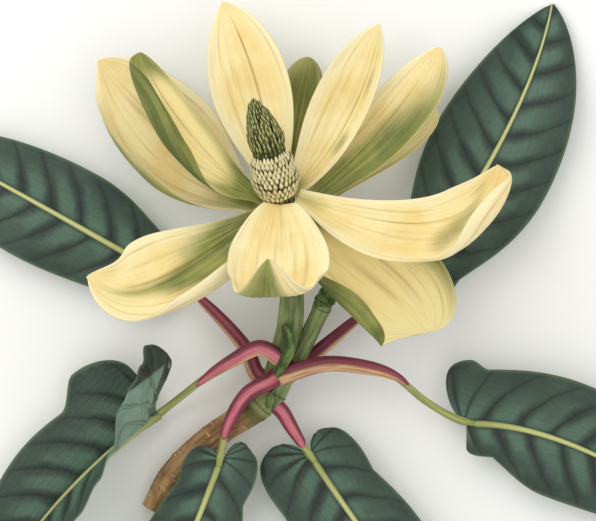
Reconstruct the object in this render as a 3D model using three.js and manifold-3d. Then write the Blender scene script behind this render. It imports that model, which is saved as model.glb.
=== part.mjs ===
// A cut flowering branch of ear-leaved magnolia, laid on its back on a level surface.
// Millimetres, +Z up. X and Y run along the surface, the branch's tip points along +Y,
// and the flower looks up and along +Y. Angles are in degrees.

import * as THREE from 'three';
import Module from 'manifold-3d';

const wasm = await Module();
wasm.setup();

// Driving dimensions
const gap = 0.3; // clear distance between pieces that touch on the plant
const tepalThickness = 1.2;
const leafThickness = 1.8;
const scaleThickness = 1.1;
const barkRadius = 6.6; // of the woody stem at its top
const cutRadius = 5.6; // of the woody stem at its cut end
const shootRadius = 7.2; // of the green stem above the wood
const stalkRadius = 5.4; // of the flower's stalk
const sideRadius = 4.2; // of the side shoot
const sheathRadius = 3.4; // of a leaf stalk inside its stipule sheath
const petioleRadius = 2.1; // of a bare leaf stalk
const bloomCentre = new THREE.Vector3(-8.5, 28.75, 50); // top of the flower's stalk
const bloomLift = 30; // angle of the flower's axis above the surface
const bloomLean = 13; // angle of that axis to the left of +Y
const ringRadius = 10.5; // distance of the inner tepals' feet from the axis
const barrelLength = 27;
const barrelRadius = 11.4;
const coneLength = 31;
const coneRadius = 9.1;

const degrees = Math.PI / 180;
const axis = new THREE.Vector3(
  -Math.sin(bloomLean * degrees) * Math.cos(bloomLift * degrees),
  Math.cos(bloomLean * degrees) * Math.cos(bloomLift * degrees),
  Math.sin(bloomLift * degrees),
);
const across = new THREE.Vector3(Math.cos(bloomLean * degrees), Math.sin(bloomLean * degrees), 0);
const forward = new THREE.Vector3().crossVectors(across, axis);

const smooth = (x) => {
  const t = Math.min(Math.max(x, 0), 1);
  return t * t * (3 - 2 * t);
};

// Materials

const finish = (color, roughness) => ({ color, roughness, metalness: 0 });
const creamFinish = finish(0xf3e2a4, 0.55);
const oliveFinish = finish(0x8f9350, 0.6);
const leafFinish = finish(0x3f5a50, 0.45);
const stalkFinish = finish(0x7f8a52, 0.5);
const crimsonFinish = finish(0x8a3350, 0.5);
const barkFinish = finish(0x8a6238, 0.85);
const shootFinish = finish(0x56683f, 0.6);
const stamenFinish = finish(0xd9cc98, 0.6);
const coneFinish = finish(0x55603a, 0.7);

function piece(name, geometry, look) {
  const mesh = new THREE.Mesh(geometry, new THREE.MeshStandardMaterial(look));
  mesh.name = name;
  return mesh;
}

// Closed grids and joins

// A closed body from rings of points: the rings are joined in order, and both ends are capped
function ringBody(rings) {
  const count = rings[0].length;
  const positions = rings.flat().flatMap((p) => [p.x, p.y, p.z]);
  const faces = [];
  for (let i = 0; i + 1 < rings.length; i++) {
    for (let k = 0; k < count; k++) {
      const a = i * count + k;
      const b = i * count + ((k + 1) % count);
      faces.push(a, b, b + count, a, b + count, a + count);
    }
  }
  for (const [ring, first] of [[rings[0], 0], [rings.at(-1), (rings.length - 1) * count]]) {
    const centre = ring.reduce((sum, p) => sum.add(p), new THREE.Vector3()).divideScalar(count);
    const hub = positions.length / 3;
    positions.push(centre.x, centre.y, centre.z);
    for (let k = 0; k < count; k++) {
      const next = first + ((k + 1) % count);
      faces.push(...(first === 0 ? [hub, next, first + k] : [hub, first + k, next]));
    }
  }
  return indexed(positions, faces);
}

function indexed(positions, faces) {
  const geometry = new THREE.BufferGeometry();
  geometry.setAttribute('position', new THREE.Float32BufferAttribute(positions, 3));
  geometry.setIndex(faces);
  return geometry;
}

function toSolid(geometry) {
  const vertProperties = new Float32Array(geometry.getAttribute('position').array);
  const triVerts = new Uint32Array(geometry.index.array);
  return new wasm.Manifold(new wasm.Mesh({ numProp: 3, vertProperties, triVerts }));
}

// The geometry left of a body once every tool is cut away from it
function cut(geometry, tools) {
  let solid = toSolid(geometry);
  for (const tool of tools) solid = solid.subtract(toSolid(tool));
  const largest = solid.decompose().reduce((a, b) => (b.volume() > a.volume() ? b : a));
  const mesh = largest.getMesh();
  return indexed(Array.from(mesh.vertProperties), Array.from(mesh.triVerts));
}

// Limbs

// A round limb along a smooth path through points, whose radius passes through radii.
// Nothing of it reaches below the surface it lies on.
function limb(points, radii, { sides = 9, steps = 12, grow = 0 } = {}) {
  const path = new THREE.CatmullRomCurve3(points.map((p) => new THREE.Vector3(...p)));
  const rings = [];
  let side = new THREE.Vector3(1, 0, 0);
  for (let i = 0; i <= steps; i++) {
    const t = i / steps;
    const along = path.getTangent(t);
    side = side.addScaledVector(along, -side.dot(along)).normalize();
    const up = new THREE.Vector3().crossVectors(along, side);
    const place = t * (radii.length - 1);
    const from = Math.min(Math.floor(place), radii.length - 2);
    const radius = THREE.MathUtils.lerp(radii[from], radii[from + 1], smooth(place - from)) + grow;
    const ring = [];
    for (let k = 0; k < sides; k++) {
      const angle = (2 * Math.PI * k) / sides;
      const point = path.getPoint(t);
      point.addScaledVector(side, Math.cos(angle) * radius).addScaledVector(up, Math.sin(angle) * radius);
      if (i === 0) point.addScaledVector(along, -grow);
      if (i === steps) point.addScaledVector(along, grow);
      if (!grow) point.z = Math.max(point.z, 0);
      ring.push(point);
    }
    rings.push(ring);
    side = side.clone();
  }
  return ringBody(rings);
}

// Blades

// A thin closed blade along the Bezier curve `line`, with its inner face towards `face`.
// halfWidth(u, side) is its half width at u from foot to tip. Each row of shape.bend is a place
// along the blade and the angles there by which its left and right halves turn up: fold turns
// each at the midrib, and roll grows from the midrib to the edge. Ears reach back at its foot.
function blade(shape, halfWidth, { rows, columns, thickness }) {
  const curve = new THREE.CubicBezierCurve3(...shape.line.map((p) => new THREE.Vector3(...p)));
  const { rollPower = 3, ear = [0, 0], earPeak = 0.55, wave = 0, floor = -Infinity } = shape;
  const face = shape.face.map((f) => new THREE.Vector3(...f));
  const middle = [];
  for (let i = 0; i <= rows; i++) {
    const s = i / rows;
    const u = shape.spread ? shape.spread(s) : 0.5 * s + 0.5 * Math.sin((s * Math.PI) / 2);
    const along = curve.getTangent(u);
    const up = face[0].clone().lerp(face.at(-1), u);
    up.addScaledVector(along, -up.dot(along)).normalize();
    const right = new THREE.Vector3().crossVectors(along, up);
    const bend = stationed(shape.bend, u);
    const row = [];
    for (const [side, sign] of [[0, -1], [1, 1]]) {
      const half = halfWidth(u, side);
      const point = curve.getPoint(u);
      const edge = [];
      let before = 0;
      for (const v of columns) {
        if (v > 0) {
          const mid = (v + before) / 2;
          const turn = (bend[2 + side] * mid ** rollPower * half) / shape.width[side];
          const angle = (bend[side] + turn) * degrees;
          point.addScaledVector(right, sign * Math.cos(angle) * half * (v - before));
          point.addScaledVector(up, Math.sin(angle) * half * (v - before));
        }
        const hump = smooth((v - 0.1) / (earPeak - 0.1)) * (1 - 0.25 * smooth((v - earPeak) / 0.4));
        const shift = ear[side] * hump * (1 - smooth(u / 0.17));
        const ripple = wave * v * v * Math.sin(u * 19 + sign * 1.3);
        edge.push(point.clone().addScaledVector(along, -shift).addScaledVector(up, ripple));
        before = v;
      }
      row.push(...(sign < 0 ? edge.slice(1).reverse() : edge));
    }
    middle.push(row);
  }
  const count = middle[0].length;
  const at = (i, k) => middle[Math.min(Math.max(i, 0), rows)][Math.min(Math.max(k, 0), count - 1)];
  const top = [];
  const bottom = [];
  for (let i = 0; i <= rows; i++) {
    for (let k = 0; k < count; k++) {
      const lengthwise = at(i + 1, k).clone().sub(at(i - 1, k));
      const sideways = at(i, k + 1).clone().sub(at(i, k - 1));
      const normal = sideways.cross(lengthwise).normalize().multiplyScalar(thickness / 2);
      const upper = at(i, k).clone().add(normal);
      const lower = at(i, k).clone().sub(normal);
      if (floor > -Infinity) {
        lower.z = Math.max(lower.z, floor);
        upper.z = Math.max(upper.z, floor + thickness);
      }
      top.push(upper);
      bottom.push(lower);
    }
  }
  const rings = [];
  for (let i = 0; i <= rows; i++) {
    const from = i * count;
    rings.push([...top.slice(from, from + count), ...bottom.slice(from, from + count).reverse()]);
  }
  return bladeBody(rings, count);
}

// The row of values at a place between rows that start with their own place
function stationed(rows, place) {
  const next = rows.findIndex((row) => row[0] > place);
  if (next < 1) return rows.at(next).slice(1);
  const [from, to] = [rows[next - 1], rows[next]];
  const part = smooth((place - from[0]) / (to[0] - from[0]));
  return from.slice(1).map((value, i) => THREE.MathUtils.lerp(value, to[i + 1], part));
}

// The two faces and the rim of a blade whose rings run over the top and back underneath
function bladeBody(rings, count) {
  const around = 2 * count;
  const positions = rings.flat().flatMap((p) => [p.x, p.y, p.z]);
  const faces = [];
  for (let i = 0; i + 1 < rings.length; i++) {
    for (let k = 0; k < around; k++) {
      const a = i * around + k;
      const b = i * around + ((k + 1) % around);
      faces.push(a, b, b + around, a, b + around, a + around);
    }
  }
  const last = (rings.length - 1) * around;
  for (let k = 0; k + 1 < count; k++) {
    const under = around - 1 - k;
    faces.push(k + 1, k, under, k + 1, under, under - 1);
    faces.push(last + k, last + k + 1, last + under, last + k + 1, last + under - 1, last + under);
  }
  return indexed(positions, faces);
}

// Half width of a tepal: it widens from its foot to the widest place, and ends in a rounded tip
function tepalHalf(shape) {
  return (u, side) => {
    const full = shape.width[side];
    const widest = shape.widest[side];
    const foot = shape.footWidth ?? 3;
    const growth = Math.sin(((u / widest) * Math.PI) / 2) ** (shape.neck ?? 1.2);
    if (u < widest) return foot + (full - foot) * growth;
    const t = (u - widest) / (1 - widest);
    return Math.max(1.2, full * (1 - t * t) ** (shape.tip?.[side] ?? 0.5));
  };
}

// Half width of a leaf: a rounded ear, a waist, the widest place and a pointed tip
function leafHalf(shape) {
  return (u, side) => {
    const full = shape.width[side];
    const lobe = shape.lobe[side];
    const [place, part] = shape.waist?.[side] ?? [0.16, 0.94];
    const waist = part * lobe;
    const rounded = 0.6 * place;
    if (u < rounded) return lobe * (0.8 + 0.2 * smooth(u / rounded));
    if (u < place) return lobe + (waist - lobe) * smooth((u - rounded) / (place - rounded));
    const growth = Math.sin((((u - place) / (shape.widest - place)) * Math.PI) / 2);
    if (u < shape.widest) return waist + (full - waist) * growth;
    const t = (u - shape.widest) / (1 - shape.widest);
    return Math.max(1, full * (1 - t * t) ** 0.8);
  };
}

// The bloom, placed from the top of its stalk

// A foot on the receptacle at an angle round the axis: 0 is right, 90 is towards the viewer above
function foot(angle, radius, rise) {
  return new THREE.Vector3()
    .addScaledVector(across, Math.cos(angle * degrees) * radius)
    .addScaledVector(forward, Math.sin(angle * degrees) * radius)
    .addScaledVector(axis, rise)
    .toArray();
}

const tepals = [
  {
    name: 'tepal_back',
    foot: [-97, ringRadius, 1],
    line: [[-7, 38, -12], [-17, 72, -16], [-29, 99.5, -22]],
    width: [21, 21],
    widest: [0.5, 0.5],
    tip: [0.75, 0.75],
    bend: [[0, 25, 25, 0, 0], [0.2, 0, 0, 45, 45]],
  },
  {
    name: 'tepal_back_narrow',
    foot: [-78, 12.5, -4],
    line: [[5, 28, -24], [9, 52, -31], [12, 72.5, -34]],
    width: [12, 12],
    widest: [0.6, 0.6],
    bend: [[0, 25, 25, 0, 0], [0.2, 0, 0, 30, 30]],
    look: oliveFinish,
  },
  {
    name: 'tepal_upper_right',
    foot: [-52, ringRadius, 1],
    line: [[22, 20, -6], [43, 56, -6], [49.5, 88, -12]],
    face: [[0.2, -0.1, 1]],
    width: [22, 13],
    widest: [0.5, 0.42],
    tip: [0.7, 0.7],
    bend: [[0, 25, 25, 0, 0], [0.2, 0, 0, 30, 100]],
  },
  {
    name: 'tepal_right_upper',
    foot: [-23, 13.2, -6],
    line: [[34, 18, -15], [62, 46, -18], [80, 77, -22]],
    face: [[-0.1, 0.1, 1]],
    width: [13, 17],
    widest: [0.6, 0.6],
    bend: [[0, 25, 25, 0, 0], [0.2, 0, 0, 30, 120]],
  },
  {
    name: 'tepal_right_low',
    foot: [-2, 14, -11],
    line: [[35, 8, -22], [60, 26, -29], [78, 45.5, -32]],
    face: [[-0.1, 0.3, 1]],
    width: [12, 9],
    widest: [0.6, 0.6],
    bend: [[0, 25, 25, 0, 0], [0.2, 0, 0, 20, 40]],
  },
  {
    name: 'tepal_right_large',
    foot: [16, ringRadius, 2],
    line: [[45, -12, 12], [95, -26, 16], [106, 16, 34]],
    face: [[-0.1, 0.45, 0.9]],
    width: [18, 34],
    widest: [0.62, 0.62],
    bend: [[0, 25, 25, 0, 0], [0.2, 0, 0, 25, 170]],
  },
  {
    name: 'tepal_lower_right',
    foot: [52, 12.5, -4],
    line: [[30, -18, 0], [58, -42, -6], [71, -62, -18]],
    face: [[-0.3, 0.35, 0.9]],
    width: [28, 34],
    widest: [0.68, 0.6],
    tip: [0.42, 0.42],
    bend: [[0, 25, 25, 0, 0], [0.2, 0, 0, 25, 160]],
  },
  {
    name: 'tepal_front',
    foot: [95, 9.5, 2],
    line: [[-1, -26, 34], [-4, -76, 62], [-6, -28, 72]],
    face: [[0, 0.8, 0.6], [0, 1, -0.2]],
    width: [26, 24],
    widest: [0.55, 0.5],
    bend: [[0, 32, 32, 0, 0], [0.2, 0, 0, 30, 30]],
    footWidth: 9.5,
  },
  {
    name: 'tepal_lower_left',
    foot: [150, 11.5, -1],
    line: [[-30, -20, 18], [-72, -60, 24], [-95, -36, 24]],
    face: [[0.1, 0.45, 0.9]],
    width: [26, 27],
    widest: [0.38, 0.62],
    tip: [1.2, 0.5],
    neck: 1.6,
    bend: [[0, 25, 25, 0, 0], [0.2, 0, 0, 150, 20], [0.8, 0, 0, 15, 20]],
    rollPower: 2,
  },
  {
    name: 'tepal_upper_left',
    foot: [205, ringRadius, 1],
    line: [[-30, 18, -2], [-56, 46, 2], [-70, 75, -4]],
    face: [[0.4, 0, 0.9]],
    width: [30, 11],
    widest: [0.45, 0.5],
    tip: [0.6, 0.6],
    bend: [[0, 25, 25, 0, 0], [0.2, 0, 0, 175, 25]],
    rollPower: 2.5,
    look: oliveFinish,
  },
  {
    name: 'tepal_far_left',
    foot: [192, 12.5, -5],
    line: [[-36, 14, -20], [-68, 44, -26], [-81.5, 72, -26]],
    face: [[0.1, 0.1, 1]],
    width: [25.5, 23],
    widest: [0.52, 0.55],
    tip: [0.45, 0.4],
    bend: [[0, 25, 25, 0, 0], [0.2, 0, 0, 45, 30]],
  },
];

function tepalGeometry(shape) {
  const line = [foot(...shape.foot), ...shape.line];
  const full = { face: [[0, 0, 1]], ...shape, line };
  return blade(full, tepalHalf(full), {
    rows: 11,
    columns: [0, 0.3, 0.58, 0.82, 1],
    thickness: tepalThickness,
  });
}

// Turned about the bloom's axis: the profile's points are [radius, height along the axis]
function turned(profile, sides) {
  const geometry = new THREE.LatheGeometry(profile.map((p) => new THREE.Vector2(...p)), sides);
  const turn = new THREE.Quaternion().setFromUnitVectors(new THREE.Vector3(0, 1, 0), axis);
  return geometry.applyQuaternion(turn);
}

function stamenBarrel() {
  const top = barrelLength;
  return turned([
    [0, 2],
    [0.7 * barrelRadius, 2],
    [barrelRadius, 0.4 * top],
    [0.97 * barrelRadius, 0.75 * top],
    [0.84 * barrelRadius, 0.97 * top],
    [0, 0.97 * top],
  ], 16);
}

function carpelCone() {
  const start = barrelLength + gap;
  const at = (part) => start + part * coneLength;
  return turned([
    [0, at(0)],
    [0.85 * coneRadius, at(0)],
    [coneRadius, at(0.2)],
    [0.86 * coneRadius, at(0.42)],
    [0.62 * coneRadius, at(0.62)],
    [0.34 * coneRadius, at(0.85)],
    [0.12 * coneRadius, at(1)],
    [0, at(1.01)],
  ], 14);
}

function bloom() {
  const group = new THREE.Group();
  group.position.copy(bloomCentre);
  for (const shape of tepals) group.add(piece(shape.name, tepalGeometry(shape), shape.look ?? creamFinish));
  group.add(piece('stamens', stamenBarrel(), stamenFinish));
  group.add(piece('carpel_cone', carpelCone(), coneFinish));
  return group;
}

// Stems

const woodPath = [[-72.5, -124.3, 5.5], [-62, -108, 6.4], [-50, -96, 8], [-36, -85, 11], [-23, -76, 15]];
const stalkPath = [
  [-22.6, -75.6, 15.1],
  [-12, -63, 17.5],
  [-6.5, -48, 20],
  [-4, -31, 26],
  [-3.5, -12, 34],
  bloomCentre.clone().addScaledVector(axis, -12).toArray(),
  bloomCentre.clone().addScaledVector(axis, -0.5).toArray(),
];
const stalkRadii = [shootRadius, 1.05 * shootRadius, shootRadius, stalkRadius, stalkRadius, 5.6, 7.4];
const sidePath = [[-7, -58, 20], [1, -46, 23], [9, -30, 26], [13, -21, 30]];

const stalkBody = (grow) => limb(stalkPath, stalkRadii, { grow, sides: 11, steps: 18 });
const sideBody = (grow) => limb(sidePath, [sideRadius, sideRadius, sideRadius], { grow });

function woodyStem() {
  const radii = [cutRadius, 6, 6.2, 6.4, barkRadius];
  return cut(limb(woodPath, radii, { sides: 12 }), [stalkBody(gap)]);
}

function sideShoot() {
  return cut(sideBody(0), [stalkBody(gap)]);
}

// Leaf stalks: a crimson stipule sheath holds the lower part, and the bare stalk runs on from it

const leafStalks = [
  {
    name: 'upper_left',
    sheath: [[-20, -57, 17], [-26, -44, 17], [-48, -20, 13]],
    bare: [[-48, -20, 13], [-57, -13, 11], [-65, -8, 9]],
  },
  {
    name: 'upper_right',
    sheath: [[-2, -55, 16], [8, -47, 14], [31, -28, 12]],
    bare: [[31, -28, 12], [44, -18, 10], [57.5, -8, 8]],
  },
  {
    name: 'left',
    sheath: [[-9, -48, 27], [-19, -42.5, 32], [-32, -48, 28], [-46, -57, 22]],
    bare: [[-46, -57, 22], [-60, -68, 15], [-68.2, -75.2, 11]],
  },
  {
    name: 'right',
    sheath: [[-5, -56, 26], [14, -51, 31], [35, -53, 28], [50, -58, 22]],
    bare: [[50, -58, 22], [66, -72, 14], [82, -80.5, 10]],
  },
  {
    name: 'bottom_left',
    sheath: [[-14, -60, 26], [-24, -66, 28], [-31, -76, 26], [-36, -86, 23]],
    bare: [[-36, -86, 23], [-37.5, -92, 21], [-38.6, -97, 19]],
  },
  {
    name: 'bottom_middle',
    sheath: [[-17, -69, 16], [-9, -74, 17], [-4, -82, 15]],
    bare: [[-4, -82, 15], [1, -90, 13], [5.5, -96.2, 11]],
  },
];

const sheathRadii = [1.15 * sheathRadius, sheathRadius, 0.8 * sheathRadius];

function leafStalk(name, sheath, bare) {
  const group = new THREE.Group();
  const spaces = [stalkBody(gap), sideBody(gap)];
  const end = limb(sheath, sheathRadii, { grow: gap });
  const stalk = limb(bare, [petioleRadius, 0.9 * petioleRadius], { sides: 7, steps: 8 });
  group.add(piece(`sheath_${name}`, cut(limb(sheath, sheathRadii), spaces), crimsonFinish));
  group.add(piece(`leaf_stalk_${name}`, cut(stalk, [end]), stalkFinish));
  return group;
}

// Leaves

const leafSpread = (s) => 0.4 * s + 0.3 * (1 - Math.cos(Math.PI * s));

const leaves = [
  {
    name: 'leaf_upper_left',
    line: [[-66, -7.5, 9], [-110, 17, 16], [-155, 43, 10], [-193.5, 62.5, 0.8]],
    width: [30, 26],
    lobe: [25, 17],
    widest: 0.42,
    ear: [9, 6],
    wave: 1.2,
  },
  {
    name: 'leaf_upper_right',
    line: [[58.5, -7, 8], [82, 24, 14], [120, 78, 12], [127, 128, 0.8]],
    width: [27, 31],
    lobe: [17, 24],
    widest: 0.5,
    ear: [8, 8],
    wave: 1.2,
  },
  {
    name: 'leaf_left',
    line: [[-69.5, -76.5, 12], [-95, -95.5, 17], [-125, -118, 14], [-161, -178, 0.8]],
    width: [27, 32],
    lobe: [35, 39.5],
    waist: [[0.16, 0.85], [0.31, 0.8]],
    widest: 0.47,
    ear: [19.5, 1],
    earPeak: 1,
    bend: [
      [0, 158, 6, 0, 0],
      [0.06, 122, 6, 0, -10],
      [0.14, 118, 6, 0, -10],
      [0.28, 90, 6, 0, -20],
      [0.4, 77, 6, 0, -20],
      [0.55, 67, 6, 0, -20],
      [1, 40, 8, 0, -20],
    ],
    rollPower: 1,
  },
  {
    name: 'leaf_right',
    line: [[84, -81.5, 10], [125, -80, 18], [170, -105, 12], [218, -140, 0.8]],
    width: [32, 28],
    lobe: [32, 12],
    widest: 0.48,
    ear: [13, 1],
    wave: 1.4,
  },
  {
    name: 'leaf_bottom_left',
    line: [[-38.5, -99.5, 19], [-50, -130, 22], [-70, -180, 12], [-92, -228, 0.8]],
    width: [25, 24],
    lobe: [18, 17.5],
    widest: 0.5,
    ear: [8, 7],
  },
  {
    name: 'leaf_bottom_middle',
    line: [[6.5, -97.5, 11], [26, -128, 20], [60, -172, 12], [88, -214, 0.8]],
    width: [25, 29],
    lobe: [21, 27],
    widest: 0.45,
    ear: [9, 13],
  },
];

function leafGeometry(shape) {
  const full = { face: [[0, 0, 1]], bend: [[0, 10, 10, -22, -22]], floor: 0, spread: leafSpread, ...shape };
  return blade(full, leafHalf(full), {
    rows: 14,
    columns: [0, 0.16, 0.38, 0.62, 0.84, 1],
    thickness: leafThickness,
  });
}

// Small parts on the stem

const hookedScale = {
  line: [[-13, -60, 25], [-7, -51, 36], [1, -40, 36], [-7.3, -31.5, 35]],
  face: [[0, 0, 1]],
  width: [6, 3],
  widest: [0.6, 0.5],
  footWidth: 2.2,
  bend: [[0, -30, -20, -20, 0]],
};

// The hooked stipule scale on the flower's stalk, clear of the stalk and of the sheaths beside it
function stipuleScale() {
  const sheaths = leafStalks.map(({ sheath }) => limb(sheath, sheathRadii, { grow: gap }));
  const strap = blade(hookedScale, tepalHalf(hookedScale), {
    rows: 9,
    columns: [0, 0.5, 1],
    thickness: scaleThickness,
  });
  return cut(strap, [stalkBody(gap), sideBody(gap), ...sheaths]);
}

function bud(points, radii) {
  return limb(points, radii, { sides: 8, steps: 8 });
}

function plantParts() {
  const plant = new THREE.Group();
  plant.add(bloom());
  plant.add(piece('woody_stem', woodyStem(), barkFinish));
  plant.add(piece('flower_stalk', stalkBody(0), shootFinish));
  plant.add(piece('side_shoot', sideShoot(), shootFinish));
  const terminal = bud([[13.2, -20.2, 30.6], [14, -17, 32], [15, -12, 34]], [4.4, 5, 1.5]);
  plant.add(piece('side_bud', terminal, shootFinish));
  const axillary = bud([[-13.5, -72.3, 24], [-12.5, -67.5, 26], [-12, -64.5, 27]], [2.4, 2.5, 0.8]);
  plant.add(piece('axillary_bud', cut(axillary, [stalkBody(gap)]), shootFinish));
  plant.add(piece('stipule_scale', stipuleScale(), shootFinish));
  for (const { name, sheath, bare } of leafStalks) plant.add(leafStalk(name, sheath, bare));
  for (const shape of leaves) plant.add(piece(shape.name, leafGeometry(shape), leafFinish));
  return plant;
}

const plant = plantParts();
const extent = new THREE.Box3().setFromObject(plant);
const centre = extent.getCenter(new THREE.Vector3());
plant.position.set(-centre.x, -centre.y, 0);

export default plant;
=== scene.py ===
import bpy
import numpy as np
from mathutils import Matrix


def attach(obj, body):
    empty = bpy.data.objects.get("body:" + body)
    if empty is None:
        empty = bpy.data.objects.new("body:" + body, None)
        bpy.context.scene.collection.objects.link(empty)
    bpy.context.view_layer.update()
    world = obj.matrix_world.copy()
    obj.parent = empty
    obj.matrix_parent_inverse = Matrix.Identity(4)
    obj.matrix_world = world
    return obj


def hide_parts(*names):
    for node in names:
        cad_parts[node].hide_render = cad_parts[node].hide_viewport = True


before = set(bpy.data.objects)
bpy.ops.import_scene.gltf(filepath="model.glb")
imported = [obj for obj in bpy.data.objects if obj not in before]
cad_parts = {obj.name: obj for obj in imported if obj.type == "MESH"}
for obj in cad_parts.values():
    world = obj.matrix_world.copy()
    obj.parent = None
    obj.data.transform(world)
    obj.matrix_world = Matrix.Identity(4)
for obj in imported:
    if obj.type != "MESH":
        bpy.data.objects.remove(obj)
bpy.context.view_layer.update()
print("frame loaded")

# Lengths are in millimetres on the branch's own axes until a mesh is filled.
# The shift puts the branch's middle over the frame's origin.
benchShift = np.array([-12.33, 49.85, 0.0])

# Camera, lights and floor

cameraValues = {"height": 4.0, "seenWidth": 0.298, "sensor": 36.0, "farthest": 50}
lampValues = {
    "key": {"place": (-0.6, 0.65, 0.95), "size": 1.2, "power": 6.7},
    "fill": {"place": (0.9, -0.5, 0.9), "size": 1.8, "power": 3.0},
}
worldValues = {"Color": (1, 0.99, 0.97, 1), "Strength": 0.77}
floorValues = {"size": 60.0, "below": 0.2, "colour": (254, 254, 252)}


def addCamera(values):
    data = bpy.data.cameras.new("camera")
    data.sensor_width = values["sensor"]
    data.lens = values["sensor"] * values["height"] / values["seenWidth"]
    data.clip_end = values["farthest"]
    camera = bpy.data.objects.new("camera", data)
    camera.location = (benchShift[0] / 1000, benchShift[1] / 1000, values["height"])
    bpy.context.scene.collection.objects.link(camera)
    bpy.context.scene.camera = camera


def addLamp(name, values):
    data = bpy.data.lights.new(name, "AREA")
    data.size = values["size"]
    data.energy = values["power"]
    lamp = bpy.data.objects.new(name, data)
    lamp.location = values["place"]
    lamp.rotation_euler = (-lamp.location).to_track_quat("-Z", "Y").to_euler()
    bpy.context.scene.collection.objects.link(lamp)


addCamera(cameraValues)
for name, values in lampValues.items():
    addLamp(name, values)
world = bpy.data.worlds.new("studio")
world.use_nodes = True
for name, value in worldValues.items():
    world.node_tree.nodes["Background"].inputs[name].default_value = value
bpy.context.scene.world = world
bpy.context.scene.view_settings.view_transform = "Standard"
print("camera and lights placed")

# Shader maths. Colours are given as screen colours in steps of 0 to 255.


def tone(colour):
    # The linear colour of a screen colour
    c = np.array(colour) / 255
    return tuple(float(x) for x in np.where(c > 0.04045, ((c + 0.055) / 1.055) ** 2.4, c / 12.92))


class Wire:
    # A node's output socket, on which Python's operators add Math nodes
    def __init__(self, finish, socket):
        self.finish = finish
        self.socket = socket

    def maths(self, operation, *values):
        return self.finish.node("ShaderNodeMath", {"operation": operation}, dict(enumerate(values)))

    def __add__(self, other):
        return self.maths("ADD", self, other)

    def __sub__(self, other):
        return self.maths("SUBTRACT", self, other)

    def __rsub__(self, other):
        return self.maths("SUBTRACT", other, self)

    def __mul__(self, other):
        return self.maths("MULTIPLY", self, other)

    def __truediv__(self, other):
        return self.maths("DIVIDE", self, other)

    def __abs__(self):
        return self.maths("ABSOLUTE", self)

    __radd__ = __add__
    __rmul__ = __mul__

    def folded(self):
        # 0 where the value is whole, 0.5 half way between whole numbers
        return self.maths("PINGPONG", self, 0.5)

    def step(self, low, high):
        # 0 at low and 1 at high, smooth between; low may be the higher of the two
        inputs = {"Value": self, 1: low, 2: high}
        return self.finish.node("ShaderNodeMapRange", {"interpolation_type": "SMOOTHSTEP"}, inputs)


class Finish:
    # A Principled material whose uniform values are set straight on the shader's sockets
    def __init__(self, name, **uniform):
        self.material = bpy.data.materials.new(name)
        self.material.use_nodes = True
        self.tree = self.material.node_tree
        self.shader = self.tree.nodes["Principled BSDF"]
        for socket, value in uniform.items():
            self.shader.inputs[socket.replace("_", " ")].default_value = value

    def node(self, kind, settings=None, inputs=None, output=0):
        made = self.tree.nodes.new(kind)
        for key, value in (settings or {}).items():
            setattr(made, key, value)
        for key, value in (inputs or {}).items():
            self.feed(made.inputs[key], value)
        return Wire(self, made.outputs[output])

    def feed(self, socket, value):
        if isinstance(value, Wire):
            self.tree.links.new(value.socket, socket)
        elif socket.type == "RGBA":
            socket.default_value = (*tone(value), 1)
        else:
            socket.default_value = value

    def attribute(self, name, output=2):
        return self.node("ShaderNodeAttribute", {"attribute_name": name}, output=output)

    def attributes(self, *names):
        return [self.attribute(name) for name in names]

    def place(self):
        # The coordinates that follow the surface, in millimetres
        vector = self.attribute("place", output=1)
        return [self.node("ShaderNodeSeparateXYZ", inputs={0: vector}, output=i) for i in range(3)]

    def ownSpace(self):
        return self.node("ShaderNodeTexCoord", output=3)

    def scaled(self, place, scales):
        parts = {i: part * scale for i, (part, scale) in enumerate(zip(place, scales))}
        return self.node("ShaderNodeCombineXYZ", inputs=parts)

    def noise(self, place, scale, detail=3.0, roughness=0.5):
        # place is a vector, or coordinates that each have their own scale
        if not isinstance(place, Wire):
            place, scale = self.scaled(place, scale), 1.0
        inputs = {"Vector": place, "Scale": scale, "Detail": detail, "Roughness": roughness}
        return self.node("ShaderNodeTexNoise", inputs=inputs)

    def noises(self, place, *rows):
        # For each row, noise with its scale across the stem and along it, detail and roughness
        return [self.noise(place, (a, a, b), detail, rough) for a, b, detail, rough in rows]

    def cells(self, place, scales):
        # The distance to the edges of random cells
        inputs = {"Vector": self.scaled(place, scales), "Scale": 1.0}
        return self.node("ShaderNodeTexVoronoi", {"feature": "DISTANCE_TO_EDGE"}, inputs)

    def blend(self, part, first, second):
        # second where part is 1, first where it is 0
        settings = {"data_type": "RGBA", "clamp_factor": True}
        return self.node("ShaderNodeMix", settings, {0: part, 6: first, 7: second}, output=2)

    def layers(self, colour, *coats):
        # Each coat (part, colour) covers what is below it where its part is 1
        for part, coat in coats:
            colour = self.blend(part, colour, coat)
        return colour

    def painted(self, colour, roughness, relief=None):
        # relief is a height, and the strength and the depth in metres of its bump
        sockets = {"Base Color": colour, "Roughness": roughness}
        if relief:
            inputs = dict(zip(("Height", "Strength", "Distance"), relief))
            sockets["Normal"] = self.node("ShaderNodeBump", inputs=inputs)
        for name, value in sockets.items():
            self.feed(self.shader.inputs[name], value)
        return self.material


# Surface helpers


def smooth(x):
    # 3x² - 2x³, held between 0 and 1
    x = np.clip(x, 0, 1)
    return x * x * (3 - 2 * x)


def mix(a, b, part):
    return a + (b - a) * part


def hill(x, width):
    # exp(-(x / width)²)
    return np.exp(-((x / width) ** 2))


def unit(v):
    return v / np.maximum(np.linalg.norm(v, axis=-1, keepdims=True), 1e-12)


def dot(a, b):
    return np.sum(a * b, axis=-1, keepdims=True)


def ringAngles(sides):
    return 2 * np.pi * np.arange(sides) / sides


def turnFrom(angle, degrees):
    # The angle from a direction given in degrees, between -π and π
    return (angle - np.radians(degrees) + np.pi) % (2 * np.pi) - np.pi


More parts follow.
